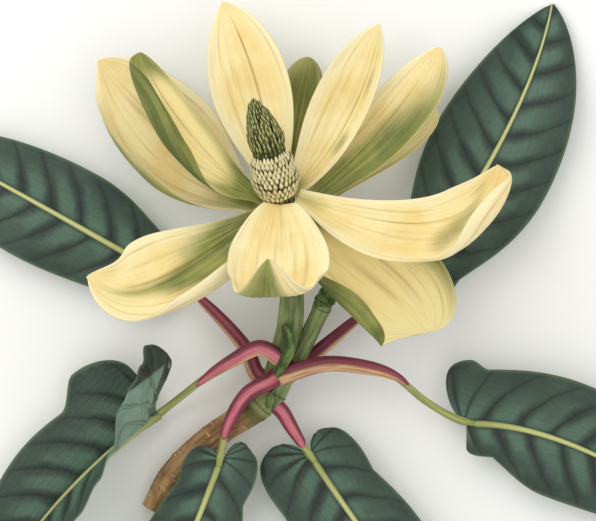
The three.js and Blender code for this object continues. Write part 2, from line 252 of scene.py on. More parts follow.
def waves(x, y, seed, count=5):
    # The mean of sine waves whose directions and phases come from the seed
    rng = np.random.default_rng(seed)
    total = 0
    for across, along, phase in rng.uniform(-1, 1, (count, 3)):
        total = total + np.sin(2 * np.pi * (across * x + along * y + phase))
    return total / count


def stationed(rows, place):
    # Values at a place between rows that start with their own place, eased from row to row
    rows = np.array(rows, float)
    if len(rows) == 1:
        return np.broadcast_to(rows[0, 1:], (len(place), rows.shape[1] - 1))
    i = np.clip(np.searchsorted(rows[:, 0], place, side="right") - 1, 0, len(rows) - 2)
    part = smooth((place - rows[i, 0]) / (rows[i + 1, 0] - rows[i, 0]))[:, None]
    return mix(rows[i, 1:], rows[i + 1, 1:], part)


def runningLength(points):
    # How far along its points a line has run at each of them
    return np.concatenate([[0], np.cumsum(np.linalg.norm(np.diff(points, axis=0), axis=1))])


def bezier(line, u):
    # (1-u)³a + 3(1-u)²u b + 3(1-u)u²c + u³d, and the direction of its slope
    a, b, c, d = (np.array(p, float) for p in line)
    u = u[:, None]
    w = 1 - u
    point = w**3 * a + 3 * w * w * u * b + 3 * w * u * u * c + u**3 * d
    along = w * w * (b - a) + 2 * w * u * (c - b) + u * u * (d - c)
    return point, unit(along)


def spline(points, t):
    # Centripetal Catmull-Rom curve: between two points, a cubic whose end slopes come from the
    # neighbours, weighted by the square roots of the distances
    p = np.array(points, float)
    p = np.vstack([2 * p[0] - p[1], p, 2 * p[-1] - p[-2]])
    span = np.clip(t, 0, 1) * (len(p) - 3)
    i = np.minimum(span.astype(int), len(p) - 4)
    w = (span - i)[..., None]
    a, b, c, d = p[i], p[i + 1], p[i + 2], p[i + 3]
    pairs = ((a, b), (b, c), (c, d))
    ab, bc, cd = (np.linalg.norm(y - x, axis=-1, keepdims=True) ** 0.5 for x, y in pairs)
    start = ((b - a) / ab - (c - a) / (ab + bc) + (c - b) / bc) * bc
    end = ((c - b) / bc - (d - b) / (bc + cd) + (d - c) / cd) * bc
    square, cube = 3 * (c - b) - 2 * start - end, 2 * (b - c) + start + end
    return b + start * w + square * w**2 + cube * w**3


def gridFaces(rows, columns, wrapped=False, start=0):
    # Quads between neighbours of a grid stored row by row
    i, k = np.meshgrid(np.arange(rows - 1), np.arange(columns - (not wrapped)), indexing="ij")
    after = (k + 1) % columns
    quads = [i * columns + k, i * columns + after, (i + 1) * columns + after, (i + 1) * columns + k]
    return np.stack(quads, axis=-1).reshape(-1, 4) + start


def closedRings(rings):
    # Rings joined in order, each end closed round a hub at its centre
    rows, sides = rings.shape[:2]
    points = np.concatenate([rings.reshape(-1, 3), [rings[0].mean(axis=0), rings[-1].mean(axis=0)]])
    first = np.arange(sides)
    after = (first + 1) % sides
    last = (rows - 1) * sides
    hubs = rows * sides
    start = np.stack([np.full(sides, hubs), after, first], axis=1)
    end = np.stack([np.full(sides, hubs + 1), last + first, last + after], axis=1)
    return points, [gridFaces(rows, sides, wrapped=True), start, end]


def withHubs(values):
    # A value for every point of closed rings, from a grid of them
    values = np.asarray(values, float)
    ends = [values[0].mean(axis=0), values[-1].mean(axis=0)]
    return np.concatenate([values.reshape(-1, *values.shape[2:]), ends])


def joined(meshes):
    # Several (points, faces, attributes) as one
    points, faces, offset = [], [], 0
    for part, polygons, _ in meshes:
        points.append(part)
        faces += [f + offset for f in polygons]
        offset += len(part)
    values = {key: np.concatenate([m[2][key] for m in meshes]) for key in meshes[0][2]}
    return np.concatenate(points), faces, values


def fillMesh(name, mesh, material, flatRim=False):
    # mesh is its points in millimetres on the branch's axes, a list of arrays of faces with 3 or 4
    # corners, and the attributes of its points. A blade's rim comes after its two faces.
    points, faces, values = mesh
    made = bpy.data.meshes.new(name)
    co = (np.asarray(points, float).reshape(-1, 3) + benchShift) / 1000
    made.vertices.add(len(co))
    made.vertices.foreach_set("co", co.astype(np.float32).ravel())
    loops = np.concatenate([f.ravel() for f in faces])
    sizes = np.concatenate([np.full(len(f), f.shape[1]) for f in faces])
    made.loops.add(len(loops))
    made.loops.foreach_set("vertex_index", loops.astype(np.int32))
    made.polygons.add(len(sizes))
    made.polygons.foreach_set("loop_start", (np.cumsum(sizes) - sizes).astype(np.int32))
    shaded = np.ones(len(sizes), bool)
    if flatRim:
        shaded[2 * len(faces[0]):] = False
    made.polygons.foreach_set("use_smooth", shaded)
    made.update(calc_edges=True)
    for key, value in values.items():
        value = np.asarray(value, np.float32)
        kind, field = ("FLOAT_VECTOR", "vector") if value.ndim > 1 else ("FLOAT", "value")
        made.attributes.new(key, kind, "POINT").data.foreach_set(field, value.ravel())
    made.validate()
    made.materials.append(material)
    piece = bpy.data.objects.new(name, made)
    bpy.context.scene.collection.objects.link(piece)
    return piece


def addPiece(name, mesh, material, flatRim=False):
    # The piece stands for the node of its own name
    piece = fillMesh(name, mesh, material, flatRim)
    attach(piece, "root")
    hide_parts(name)


def addFloor(values):
    finish = Finish("pale paper", Specular_IOR_Level=0.1)
    grain = finish.noise(finish.ownSpace(), 900.0)
    darker = tuple(c - 4 for c in values["colour"])
    paper = finish.painted(finish.blend(grain * 0.3, values["colour"], darker), 0.9)
    corners = np.array([[-1, -1], [1, -1], [1, 1], [-1, 1]]) * values["size"] * 500
    points = np.column_stack([corners, np.full(4, -values["below"])])
    fillMesh("floor", (points, [np.array([[0, 1, 2, 3]])], {}), paper)


addFloor(floorValues)

# Blades: tepals, leaves and the stipule scale

# endRows and edgeColumns crowd the grid towards the ends and the edges, ears end at earEnd along,
# waves are the turns of a wavy edge, in radians, and thinnest is the least thickness on the ground.
bladeValues = {"endRows": 0.6, "edgeColumns": 1.2, "earEnd": 0.17, "waves": 19, "thinnest": 0.3}


def bladeGrid(shape, half, rows, columns):
    # Each cross-section leaves the midrib at the fold angle and turns on by the roll towards its
    # edge: point(u, v) = line(u) + the sum over v of (right cos a + up sin a) half(u) dv, where
    # a = fold(u) + roll(u) vᵖ half(u) / width. Ears slide back along the midrib at the foot.
    s = np.linspace(0, 1, rows + 1)
    u = mix(s, (1 - np.cos(np.pi * s)) / 2, bladeValues["endRows"])
    centre, along = bezier(shape["line"], u)
    face = np.array(shape.get("face", [(0, 0, 1)]), float)
    up = mix(face[0], face[-1], u[:, None])
    up = unit(up - dot(up, along) * along)
    right = np.cross(along, up)
    bend = np.radians(stationed(shape["bend"], u))
    v = np.linspace(0, 1, columns + 1) ** bladeValues["edgeColumns"]
    between = (v[1:] + v[:-1]) / 2
    ears = shape.get("ear", (0, 0))
    length = runningLength(centre)
    sides = []
    for side, sign in ((0, -1), (1, 1)):
        width = half(shape, u, side)[:, None]
        turn = bend[:, 2 + side, None] * between ** shape.get("rollPower", 3)
        angle = bend[:, side, None] + turn * width / shape["width"][side]
        outward = np.pad(np.cumsum(np.cos(angle) * np.diff(v) * width, axis=1), ((0, 0), (1, 0)))
        upward = np.pad(np.cumsum(np.sin(angle) * np.diff(v) * width, axis=1), ((0, 0), (1, 0)))
        wave = np.sin(bladeValues["waves"] * u + 1.3 * sign)[:, None]
        upward = upward + shape.get("wave", 0) * v**2 * wave
        peak = shape.get("earPeak", (0.55, 0.55))[side]
        t = np.clip((v - 0.1) / (peak - 0.1), 0, 1)
        rise = mix(smooth(t), (1 - (1 - t) ** 2) ** 0.5, shape.get("earRound", 0))
        hump = rise * (1 - 0.25 * smooth((v - peak) / 0.4))
        back = ears[side] * hump * (1 - smooth(u / bladeValues["earEnd"]))[:, None]
        edge = centre[:, None] - back[..., None] * along[:, None]
        edge = edge + sign * outward[..., None] * right[:, None] + upward[..., None] * up[:, None]
        reach = length[:, None] - back
        sides.append((edge, reach, sign * v * width, sign * v + 0 * width))
    left, rightHand = sides
    grid, reach, across, v = (
        np.concatenate([a[:, :0:-1], b], axis=1) for a, b in zip(left, rightHand)
    )
    return {"grid": grid, "u": u[:, None] + 0 * v, "v": v, "along": reach, "across": across}


def normals(grid):
    # The unit vector square to both directions of the grid, out of its inner or upper face
    return unit(np.cross(np.gradient(grid, axis=1), np.gradient(grid, axis=0)))


def bladeShell(blade, lift, upper, under, lowest=None, **values):
    # The middle surface moved out by lift, then two faces upper and under millimetres off it,
    # joined round the edge. Values given in pairs are for the upper and the under face.
    middle = blade["grid"] + normals(blade["grid"]) * lift[..., None]
    out = normals(middle)
    top = middle + out * upper[..., None]
    bottom = middle - out * under[..., None]
    if lowest is not None:
        bottom[..., 2] = np.maximum(bottom[..., 2], lowest)
        top[..., 2] = np.maximum(top[..., 2], bottom[..., 2] + bladeValues["thinnest"])
    rows, columns = middle.shape[:2]
    count = rows * columns
    index = np.arange(count).reshape(rows, columns)
    rim = np.concatenate([index[0], index[1:, -1], index[-1, -2::-1], index[-2:0:-1, 0]])
    after = np.roll(rim, -1)
    skirt = np.stack([rim + count, after + count, after, rim], axis=1)
    backFaces = gridFaces(rows, columns, start=count)[:, ::-1]
    place = np.stack([blade["along"], blade["across"], abs(blade["v"])], axis=-1).reshape(-1, 3)
    made = {"place": np.concatenate([place, place]), "side": np.repeat([1.0, 0.0], count)}
    made["part"] = np.tile(blade["u"].ravel(), 2)
    for key, value in values.items():
        pair = value if isinstance(value, tuple) else (value, value)
        made[key] = np.concatenate([np.ravel(one) for one in pair])
    points = np.concatenate([top.reshape(-1, 3), bottom.reshape(-1, 3)])
    return points, [gridFaces(rows, columns), backFaces, skirt], made


# The bloom's own axes. Its axis is lifted above the surface and leans to the left of +Y

bloomValues = {"centre": (-8.5, 28.75, 50.0), "lift": 30.0, "lean": 13.0, "ring": 9.0}
lift, lean = np.radians(bloomValues["lift"]), np.radians(bloomValues["lean"])
bloomCentre = np.array(bloomValues["centre"])
bloomAxis = np.array([-np.sin(lean) * np.cos(lift), np.cos(lean) * np.cos(lift), np.sin(lift)])
bloomAcross = np.array([np.cos(lean), np.sin(lean), 0.0])
bloomForward = np.cross(bloomAcross, bloomAxis)


def radial(angle):
    # The direction at an angle round the bloom's axis: 0 is right, 90 degrees is up to a viewer
    return np.cos(angle)[..., None] * bloomAcross + np.sin(angle)[..., None] * bloomForward


def onBloom(angle, radius, rise):
    # The step from the bloom's centre: radius out at the angle and rise along the axis
    return radial(angle) * np.asarray(radius)[..., None] + np.asarray(rise)[..., None] * bloomAxis


# Tepals

tepalValues = {
    "rows": 120, "columns": 34, "thickness": 1.0, "edge": 0.35, "vein": 0.1, "veins": 6,
    "ruffle": 0.5, "creaseWidth": 0.035,
}
ring = bloomValues["ring"]
# foot is an angle, radius and rise round the bloom's axis, and line goes on from there. roll lists
# how far the left and right halves turn up at places along, in degrees, over the cup at the foot.
# inner lists patches of green: place along and across, spread along and across, strength. Some are
# the tepal's own green and some are painted shade beside folds and creases and under other tepals.
# creases are (place across, from, to, depth). back is the green of the outer face, and outer adds
# patches to it. fair is painted light: how much lighter the ground is painted on tepals
# that lie in the shade of other tepals.
tepals = {
    "tepal_back": dict(
        foot=(-97, ring, 1), line=[(-7, 38, -12), (-17, 72, -16), (-29, 99.5, -22)],
        width=(21.8, 19.2), widest=(0.52, 0.55), tip=(0.85, 0.75), roll=[(0.2, 45, 45)],
        creases=[(0.1, 0.25, 0.95, 0.85), (-0.3, 0.3, 0.8, 0.25)], back=0.6,
        inner=[(0.05, 0, 0.12, 1.5, 0.6)],
    ),
    "tepal_back_narrow": dict(
        foot=(-78, 10.5, -4), line=[(5, 28, -24), (9.5, 52, -31), (13.8, 72.5, -34)],
        width=(12, 12), widest=(0.6, 0.6), roll=[(0.2, 30, 30)], creases=[(0, 0.2, 0.9, 0.5)],
        # the second inner patch, on the right half, is painted shade under tepal_upper_right
        back=1.2, inner=[(0.5, 0, 1, 2, 0.95), (0.4, 0.8, 0.5, 0.5, 0.5)],
    ),
    "tepal_upper_right": dict(
        foot=(-52, ring, 1), line=[(22, 20, -6), (42, 56, -6), (48.7, 88, -12)],
        face=[(0.2, -0.1, 1)], width=(20.5, 10), widest=(0.58, 0.52), tip=(0.72, 0.7), neck=1.4,
        roll=[(0.2, 30, 90)], creases=[(0.22, 0.08, 0.98, 1.7), (-0.35, 0.3, 0.8, 0.25)], back=0.5,
        # the second and third inner patches are painted shade on the facet beside the crease
        inner=[(0.05, 0, 0.12, 1, 0.6), (0.4, 0.5, 0.1, 0.3, 0.65), (0.72, 0.45, 0.12, 0.2, 0.55)],
    ),
    "tepal_right_upper": dict(
        foot=(-23, 11, -6), line=[(34, 18, -15), (62, 46, -18), (79, 77, -22)],
        face=[(-0.1, 0.1, 1)], width=(13.8, 19.2), widest=(0.6, 0.66), tip=(0.65, 0.7), neck=1.5,
        roll=[(0.2, 30, 100)], creases=[(0, 0.2, 0.9, 0.5)], back=0.9,
        inner=[(0.12, 0.2, 0.3, 1.2, 0.9), (0.5, 0.3, 0.35, 0.7, 0.6),
        (0.65, 0.9, 0.4, 0.55, 0.65)],
    ),
    "tepal_right_low": dict(
        foot=(-2, 12, -11), line=[(30, 16.5, -18), (62, 27.5, -26), (77.5, 46, -30)],
        face=[(-0.1, 0.3, 1)], width=(10, 9), widest=(0.6, 0.64), footWidth=3, neck=1.7,
        roll=[(0.2, 20, 40)], creases=[(0, 0.2, 0.9, 0.4)], back=0.5, fair=1.0,
        inner=[(0.05, 0, 0.2, 1, 0.8), (0.5, 1, 0.6, 0.2, 0.6)],
    ),
    "tepal_right_large": dict(
        foot=(16, ring, 2), line=[(45, -12, 12), (95, -26, 16), (106.5, 18, 34)],
        face=[(-0.1, 0.45, 0.9)], width=(15.5, 33.5), widest=(0.68, 0.7), tip=(0.8, 0.28),
        rollPower=1.7, roll=[(0.2, 25, 55), (0.6, 25, 80), (1.05, 25, 280)],
        creases=[(-0.1, 0.15, 0.85, 0.4), (0.25, 0.15, 0.7, 0.3), (-0.5, 0.3, 0.8, 0.2)], back=0.1,
        # the first four inner patches are painted shade, a grey-green band beside the turned lip
        ruffle=0.15, inner=[(0.6, 0.4, 0.07, 0.3, 0.5), (0.69, 0.18, 0.08, 0.25, 0.55),
        (0.79, 0, 0.08, 0.25, 0.5), (0.88, -0.35, 0.06, 0.3, 0.4), (0.05, 0, 0.1, 1, 0.5)],
    ),
    "tepal_lower_right": dict(
        foot=(52, 10.5, -4), line=[(29, -18, 0), (64.5, -36.5, -6), (73.3, -64.3, -18)],
        face=[(-0.3, 0.35, 0.9)], width=(24, 51), widest=(0.7, 0.5), tip=(0.4, 0.5), neck=0.95,
        rollPower=2, roll=[(0.1, 25, 165), (0.6, 25, 170), (0.8, 25, 185), (1, 25, 150)],
        creases=[(-0.15, 0.15, 0.9, 0.7), (0.12, 0.3, 0.85, 0.5), (-0.45, 0.3, 0.85, 0.4),
        (0.35, 0.3, 0.75, 0.3)], back=1.7, fair=0.7,
        # the first and third inner patches are painted shade along the edge under tepal_right_large
        inner=[(0.2, -0.6, 0.3, 0.6, 0.9), (0.05, 0, 0.12, 1, 0.8), (0.55, -0.95, 0.4, 0.35, 1.0)],
    ),
    "tepal_front": dict(
        foot=(95, 8.3, 3), line=[(-1, -24, 34), (-4, -72.5, 62), (-6, -28, 72)],
        face=[(0, 0.8, 0.6), (-0.06, 1, -0.2)], width=(27.5, 25), widest=(0.42, 0.38),
        tip=(0.75, 0.7), cup=12,
        roll=[(0.2, 30, 30), (0.42, 45, 45), (0.6, 85, 85), (0.85, 35, 35)], footWidth=8.5,
        neck=0.95,
        creases=[(0.05, 0.1, 0.7, 0.35), (-0.35, 0.15, 0.6, 0.25), (0.4, 0.15, 0.6, 0.25)],
        # the outer patch, which takes green away, is a painted highlight on the lit right part of
        # the flap
        back=1.0, inner=[(0.64, 0, 0.08, 1, 0.3)], outer=[(0.9, -0.6, 0.3, 0.4, -0.45)],
    ),
    "tepal_lower_left": dict(
        foot=(150, 9.5, -1), line=[(-30, -21, 18), (-70, -62.5, 24), (-95, -36.5, 24)],
        face=[(0.1, 0.45, 0.9)], width=(33.2, 26.5), widest=(0.38, 0.58), tip=(1.05, 0.55),
        neck=1.8, rollPower=2, roll=[(0.2, 180, 20), (0.55, 163, 20), (0.85, 75, 20)],
        creases=[(0.12, 0.15, 0.85, 0.9), (0.5, 0.3, 0.8, 0.25)], back=0.55,
        inner=[(0.1, 0, 0.22, 2, 0.95), (0.32, 0.2, 0.2, 0.5, 0.6), (0.45, -0.15, 0.25, 0.25, 0.6),
        (0.65, 0, 0.3, 0.1, 0.45), (0.85, -0.3, 0.15, 0.4, 0.3)],
    ),
    "tepal_upper_left": dict(
        foot=(205, ring, 1), line=[(-32, 16, -2), (-57, 45, 2), (-70, 74, -4)],
        face=[(0.4, 0, 0.9)], width=(33, 9.5), widest=(0.58, 0.6), tip=(0.6, 0.6), neck=1.6,
        footWidth=3, rollPower=2, roll=[(0.2, 170, 25), (0.5, 205, 25), (0.85, 300, 25)],
        creases=[(0, 0.2, 0.9, 0.4)], back=1.9, fair=0.8, inner=[(0.08, 0, 0.18, 2, 1.1),
        (0.5, 1, 0.5, 0.6, 0.6), (0.97, 0, 0.14, 2, 0.9), (0.5, -0.6, 0.5, 0.2, 0.3)],
    ),
    "tepal_far_left": dict(
        foot=(192, 10.5, -5), line=[(-36, 16, -20), (-69, 42.5, -26), (-91, 70.5, -26)],
        face=[(0.1, 0.1, 1)], width=(36, 25), widest=(0.45, 0.55), tip=(1.1, 0.6), neck=1.8,
        roll=[(0.2, 150, 30), (0.8, 150, 30), (0.98, 60, 30)],
        creases=[(-0.05, 0.35, 0.9, 0.6), (0.4, 0.3, 0.8, 0.25)], back=1.3,
        inner=[(0.08, 0, 0.2, 1, 0.9), (0.65, 0.05, 0.25, 0.07, 0.5), (0.45, -0.7, 0.4, 0.12, 0.3)],
    ),
}


def tepalHalf(shape, u, side):
    # Half width: foot + (full - foot) sin(πu / 2widest)ⁿ up to the widest place, then
    # full (1 - t²)ᵏ, where n is the neck and k the tip
    full, widest = shape["width"][side], shape["widest"][side]
    foot = shape.get("footWidth", 4.5)
    rising = np.sin(np.clip(u / widest, 0, 1) * np.pi / 2) ** shape.get("neck", 1.2)
    grown = foot + (full - foot) * rising
    t = np.clip((u - widest) / (1 - widest), 0, 1)
    ended = full * (1 - t * t) ** shape.get("tip", (0.5, 0.5))[side]
    return np.maximum(np.where(u < widest, grown, ended), 0.8)


def paintTepal():
    finish = Finish(
        "tepal skin", Specular_IOR_Level=0.3, Subsurface_Weight=0.1, Subsurface_Scale=0.003
    )
    along, across, edge = finish.place()
    side, green, crease, lane, fair = finish.attributes("side", "green", "crease", "lane", "fair")
    coarse = finish.noise((along, lane), (0.010, 7.0), 4.0, 0.6)
    fine = finish.noise((along, lane), (0.025, 24.0), 3.0, 0.6)
    cloud = finish.noise((along, across), (0.04, 0.04), 4.0)
    veined = coarse.step(0.52, 0.68) * 0.42 + fine.step(0.54, 0.72) * 0.42
    olive = finish.layers(
        (100, 110, 50),
        ((cloud * 0.7 + coarse * 1.1).step(0.7, 1.15), (166, 168, 90)),
        ((green + (fine - 0.5) * 0.6).step(1.05, 1.75), (76, 88, 40)),
    )
    # greenAndShade lays on the olive green: the tepals' own green, and painted shade where patches
    # stand for it
    greenAndShade = (green + (coarse - 0.5) * 0.5 + (fine - 0.5) * 0.3).step(0.15, 0.95)
    colour = finish.layers(
        (238, 214, 142),
        (cloud.step(0.35, 0.65), (248, 230, 172)),
        (edge.step(0.5, 1.0) * 0.7, (252, 241, 200)),
        # painted light: a lighter ground on tepals that lie in shade
        (fair, (255, 238, 172)),
        (veined, (186, 160, 88)),
        (greenAndShade, olive),
        # painted shade: darker along the creases
        (crease * 0.6, (126, 116, 60)),
        (edge.step(0.985, 1.0) * 0.5, (196, 178, 108)),
    )
    rough = 0.46 + coarse * 0.16 + (1 - side) * 0.05
    return finish.painted(colour, rough, (coarse * 0.6 + fine * 0.4, 0.3, 0.0006))


def patches(rows, u, v):
    # The sum of strength · exp(-((u - place) / spread)² - ((v - place) / spread)²)
    return sum((a * hill(u - uu, du) * hill(v - vv, dv) for uu, vv, du, dv, a in rows), 0 * u)


def addTepal(name, shape, seed, material):
    values = tepalValues
    angle, radius, rise = shape["foot"]
    foot = onBloom(np.radians(angle), radius, rise)
    line = [bloomCentre + p for p in (foot, *np.array(shape["line"], float))]
    cup = shape.get("cup", 25)
    bend = [(0, cup, cup, 0, 0)] + [(place, 0, 0, *turns) for place, *turns in shape["roll"]]
    shape = {**shape, "line": line, "bend": bend}
    blade = bladeGrid(shape, tepalHalf, values["rows"], values["columns"])
    u, v = blade["u"], blade["v"]
    body = np.clip(1 - abs(v) ** 5, 0, 1) ** 0.5 * np.clip((1 - u) / 0.04, 0, 1) ** 0.5
    fade = smooth(u / 0.15) * smooth((1 - u) / 0.12) * body
    ruffle = shape.get("ruffle", values["ruffle"]) * smooth(u / 0.3)
    phase = values["veins"] * v + 0.5 * waves(u, v, seed)
    lift = values["vein"] * fade * np.sin(2 * np.pi * phase)
    lift = lift + ruffle * waves(1.7 * u, 1.1 * v, seed + 40) * v**2
    crease = 0 * u
    for place, start, end, depth in shape["creases"]:
        across = hill(v - place - 0.03 * waves(u, 0, seed), values["creaseWidth"])
        crease = crease + depth * across * smooth((u - start) / 0.2) * smooth((end - u) / 0.2)
    inner = patches(shape["inner"], u, v)
    outer = shape["back"] * (0.75 + 0.25 * hill(v, 0.35)) + 0.4 * hill(u, 0.3)
    outer = outer - 0.25 * smooth((abs(v) - 0.8) / 0.2) + patches(shape.get("outer", []), u, v)
    half = mix(values["edge"], values["thickness"], body) / 2
    mesh = bladeShell(
        blade, lift - crease, half, half, green=(inner, outer), crease=(crease, 0 * u), lane=v,
        fair=shape.get("fair", 0) + 0 * u,
    )
    addPiece(name, mesh, material, flatRim=True)


tepalSkin = paintTepal()
for number, (name, shape) in enumerate(tepals.items()):
    addTepal(name, shape, 3 + number, tepalSkin)
print("tepals made:", len(tepals))

# Stamens and carpels round the bloom's axis

# radii are those of the turned core's cover at heights along the axis, and sizes those of the pods
# there. rows is the first and last row of pods and their number, tilt their lean in degrees, and
# pod the width, thickness, length and arch of one, with its share of them at places along it.
stamenValues = {
    "heights": (2, 2.2, 10.8, 20.25, 26.19), "radii": (7.98, 8.208, 11.4, 11.058, 9.576),
    "cover": 2.4, "core": (40, 48, 0.2), "rows": (0.8, 24.1, 10), "around": 27, "tilt": (5, 5),
    "sizes": (1, 1, 1, 1, 1), "sink": 1.2, "seed": 5, "loose": 1.0, "tipLean": 0.0,
    "pod": (1.25, 0.7, 6.4, 0.3), "profile": ([0, 0.25, 0.6, 0.85, 1], [0.5, 0.7, 1, 0.55, 0.06]),
}
carpelValues = {
    "heights": (27.3, 33.74, 40.824, 47.264, 54.67, 59.5),
    "radii": (7.65, 9, 8.37, 6.84, 4.14, 1.08), "cover": 1.0, "core": (50, 40, 0.15),
    "rows": (26.012, 56.28, 13), "apart": 2.1, "tilt": (-3, 9),
    "sizes": (1, 1, 0.95, 0.9, 0.75, 0.55), "sink": 0.8, "seed": 8, "loose": 2.6, "tipLean": 1.8,
    "pod": (1.0, 0.75, 6.6, 0.25), "profile": ([0, 0.2, 0.45, 0.75, 1], [0.6, 0.9, 1, 0.5, 0.08]),
}


def podTemplate(profile, pod, rows=8, sides=6):
    # A pod from base to tip: width and thickness follow the profile, and it arches outwards as
    # arch s². Axes: x across, y out from the surface, z along.
    width, thick, length, arch = pod
    s = np.linspace(0, 1, rows)[:, None]
    angle = ringAngles(sides)
    size = np.interp(s, *profile)
    x = size * width * np.cos(angle)
    y = size * thick * np.sin(angle) + arch * s**2
    z = length * s + 0 * angle
    points, faces = closedRings(np.stack([x, y, z], axis=-1))
    return points, faces, withHubs(s + 0 * angle), withHubs(abs(np.cos(angle)) + 0 * s)


def placeCopies(template, origins, outward, along, scales, jitter):
    # The template at each origin, its y axis outward and its z axis along
    points, faces, reach, rim = template
    across = unit(np.cross(outward, along))
    outward = unit(np.cross(along, across))
    axes = np.stack([across, outward, along], axis=1) * scales[:, None, None]
    copies = origins[:, None] + np.einsum("pa,nab->npb", points, axes)
    count = len(origins)
    step = np.arange(count)[:, None, None] * len(points)
    polygons = [(f[None] + step).reshape(-1, f.shape[1]) for f in faces]
    shade = np.repeat(jitter, len(points))
    made = {"tip": np.tile(reach, count), "rim": np.tile(rim, count), "shade": shade}
    return copies.reshape(-1, 3), polygons, made


def turned(heights, radii, rows, sides, bumps):
    # A body turned about the bloom's axis, its radius running through radii at heights
    h = np.linspace(heights[0], heights[-1], rows)[:, None]
    angle = -ringAngles(sides)
    radius = np.interp(h, heights, radii) + bumps * np.sin(9 * angle + 2.2 * h) * np.sin(1.9 * h)
    rings = bloomCentre + onBloom(angle + 0 * h, radius, h + 0 * angle)
    points, faces = closedRings(rings)
    plain = np.zeros(len(points))
    return points, faces, {"tip": plain - 0.4, "rim": plain, "shade": plain}


def surfaceCopies(template, profile, rowHeights, counts, tilt, scales, values):
    # Copies in staggered rings on the turned surface r(h); each leans out by tilt from the slope
    rng = np.random.default_rng(values["seed"])
    loose = values["loose"]
    h = np.repeat(rowHeights, counts)
    order = np.concatenate([np.arange(n) + 0.5 * (i % 2) for i, n in enumerate(counts)])
    angle = 2 * np.pi * order / np.repeat(counts, counts) + rng.uniform(-0.03, 0.03, len(h)) * loose
    h = h + rng.uniform(-0.25, 0.25, len(h)) * loose
    radius = np.interp(h, *profile)
    slope = (np.interp(h + 1, *profile) - np.interp(h - 1, *profile)) / 2
    leaning = np.arctan(slope) + np.radians(np.repeat(tilt, counts))
    leaning = leaning + rng.uniform(-0.04, 0.04, len(h))
    out = radial(angle)
    along = unit(np.cos(leaning)[:, None] * bloomAxis + np.sin(leaning)[:, None] * out)
    origins = bloomCentre + out * (radius - values["sink"])[:, None] + h[:, None] * bloomAxis
    size = np.repeat(scales, counts) * rng.uniform(0.92, 1.08, len(h))
    return placeCopies(template, origins, out, along, size, rng.uniform(-1, 1, len(h)))


def paintStamens():
    finish = Finish("anthers", Specular_IOR_Level=0.2)
    tip, rim, shade = finish.attributes("tip", "rim", "shade")
    grain = finish.noise(finish.ownSpace(), 1400.0)
    # The dark ground low on each anther, its darker sides and the darkest core are painted shade in
    # the gaps between the anthers
    colour = finish.layers(
        (70, 54, 30),
        (tip.step(0.3, 0.6), (232, 224, 180)),
        (rim.step(0.55, 0.95) * 0.75, (104, 86, 50)),
        (shade * 0.35 + grain * 0.3, (190, 178, 112)),
        (tip.step(0.05, -0.1), (52, 42, 26)),
        (tip.step(0.93, 1.0) * 0.7, (150, 120, 66)),
    )
    return finish.painted(colour, 0.65, (grain, 0.4, 0.0003))


def paintCarpels():
    finish = Finish("carpels", Specular_IOR_Level=0.25)
    tip, rim, shade = finish.attributes("tip", "rim", "shade")
    grain = finish.noise(finish.ownSpace(), 1100.0)
    narrow = tip.step(0.45, 0.7) * rim.step(0.9, 0.4)
    colour = finish.layers(
        (56, 64, 34),
        (tip.step(0.2, 0.7), (116, 124, 66)),
        (shade * 0.3 + grain * 0.5, (84, 94, 52)),
        (narrow * (0.7 + shade * 0.25), (208, 200, 140)),
        (tip.step(0.94, 1.0) * 0.6, (150, 122, 76)),
        (tip.step(0.0, -0.2), (40, 46, 26)),
    )
    return finish.painted(colour, 0.6, (grain, 0.35, 0.0003))


def addCone(name, values, material):
    # A turned core under staggered rings of pods
    heights, radii = np.array(values["heights"]), np.array(values["radii"])
    core = turned(heights, np.maximum(radii - values["cover"], 0.5), *values["core"])
    rows = np.linspace(*values["rows"])
    around = np.interp(rows, heights, radii) * 2 * np.pi
    around = values.get("around", around / values.get("apart", 1)) + 0 * rows
    counts = np.maximum(around, 5).astype(int)
    tilt = np.linspace(*values["tilt"], len(rows))
    sizes = np.interp(rows, heights, values["sizes"])
    pod = podTemplate(values["profile"], values["pod"])
    copies = surfaceCopies(pod, (heights, radii), rows, counts, tilt, sizes, values)
    points, faces, made = joined([core, copies])
    rise = ((points - bloomCentre) @ bloomAxis - heights[0]) / (heights[-1] - heights[0])
    points = points - bloomAcross * values["tipLean"] * smooth(rise)[:, None] ** 2
    addPiece(name, (points, faces, made), material)


addCone("stamens", stamenValues, paintStamens())
addCone("carpel_cone", carpelValues, paintCarpels())
print("stamens and carpels made")

# Leaves

# ribHeight is for the upper and the under face, and veinDepth how far veins cut in and stand out
leafValues = {
    "rows": 200, "columns": 46, "thickness": 0.8, "edge": 0.4, "groove": 0.36, "rib": 1.7,
    "ripple": 0.9, "droop": -22, "trough": 0.7, "ribHeight": (1.1, 1.8), "veinDepth": (0.12, 0.45),
}
veinValues = {"spacing": 16.5, "lean": 0.4, "curve": 0.42, "fan": 3.0}
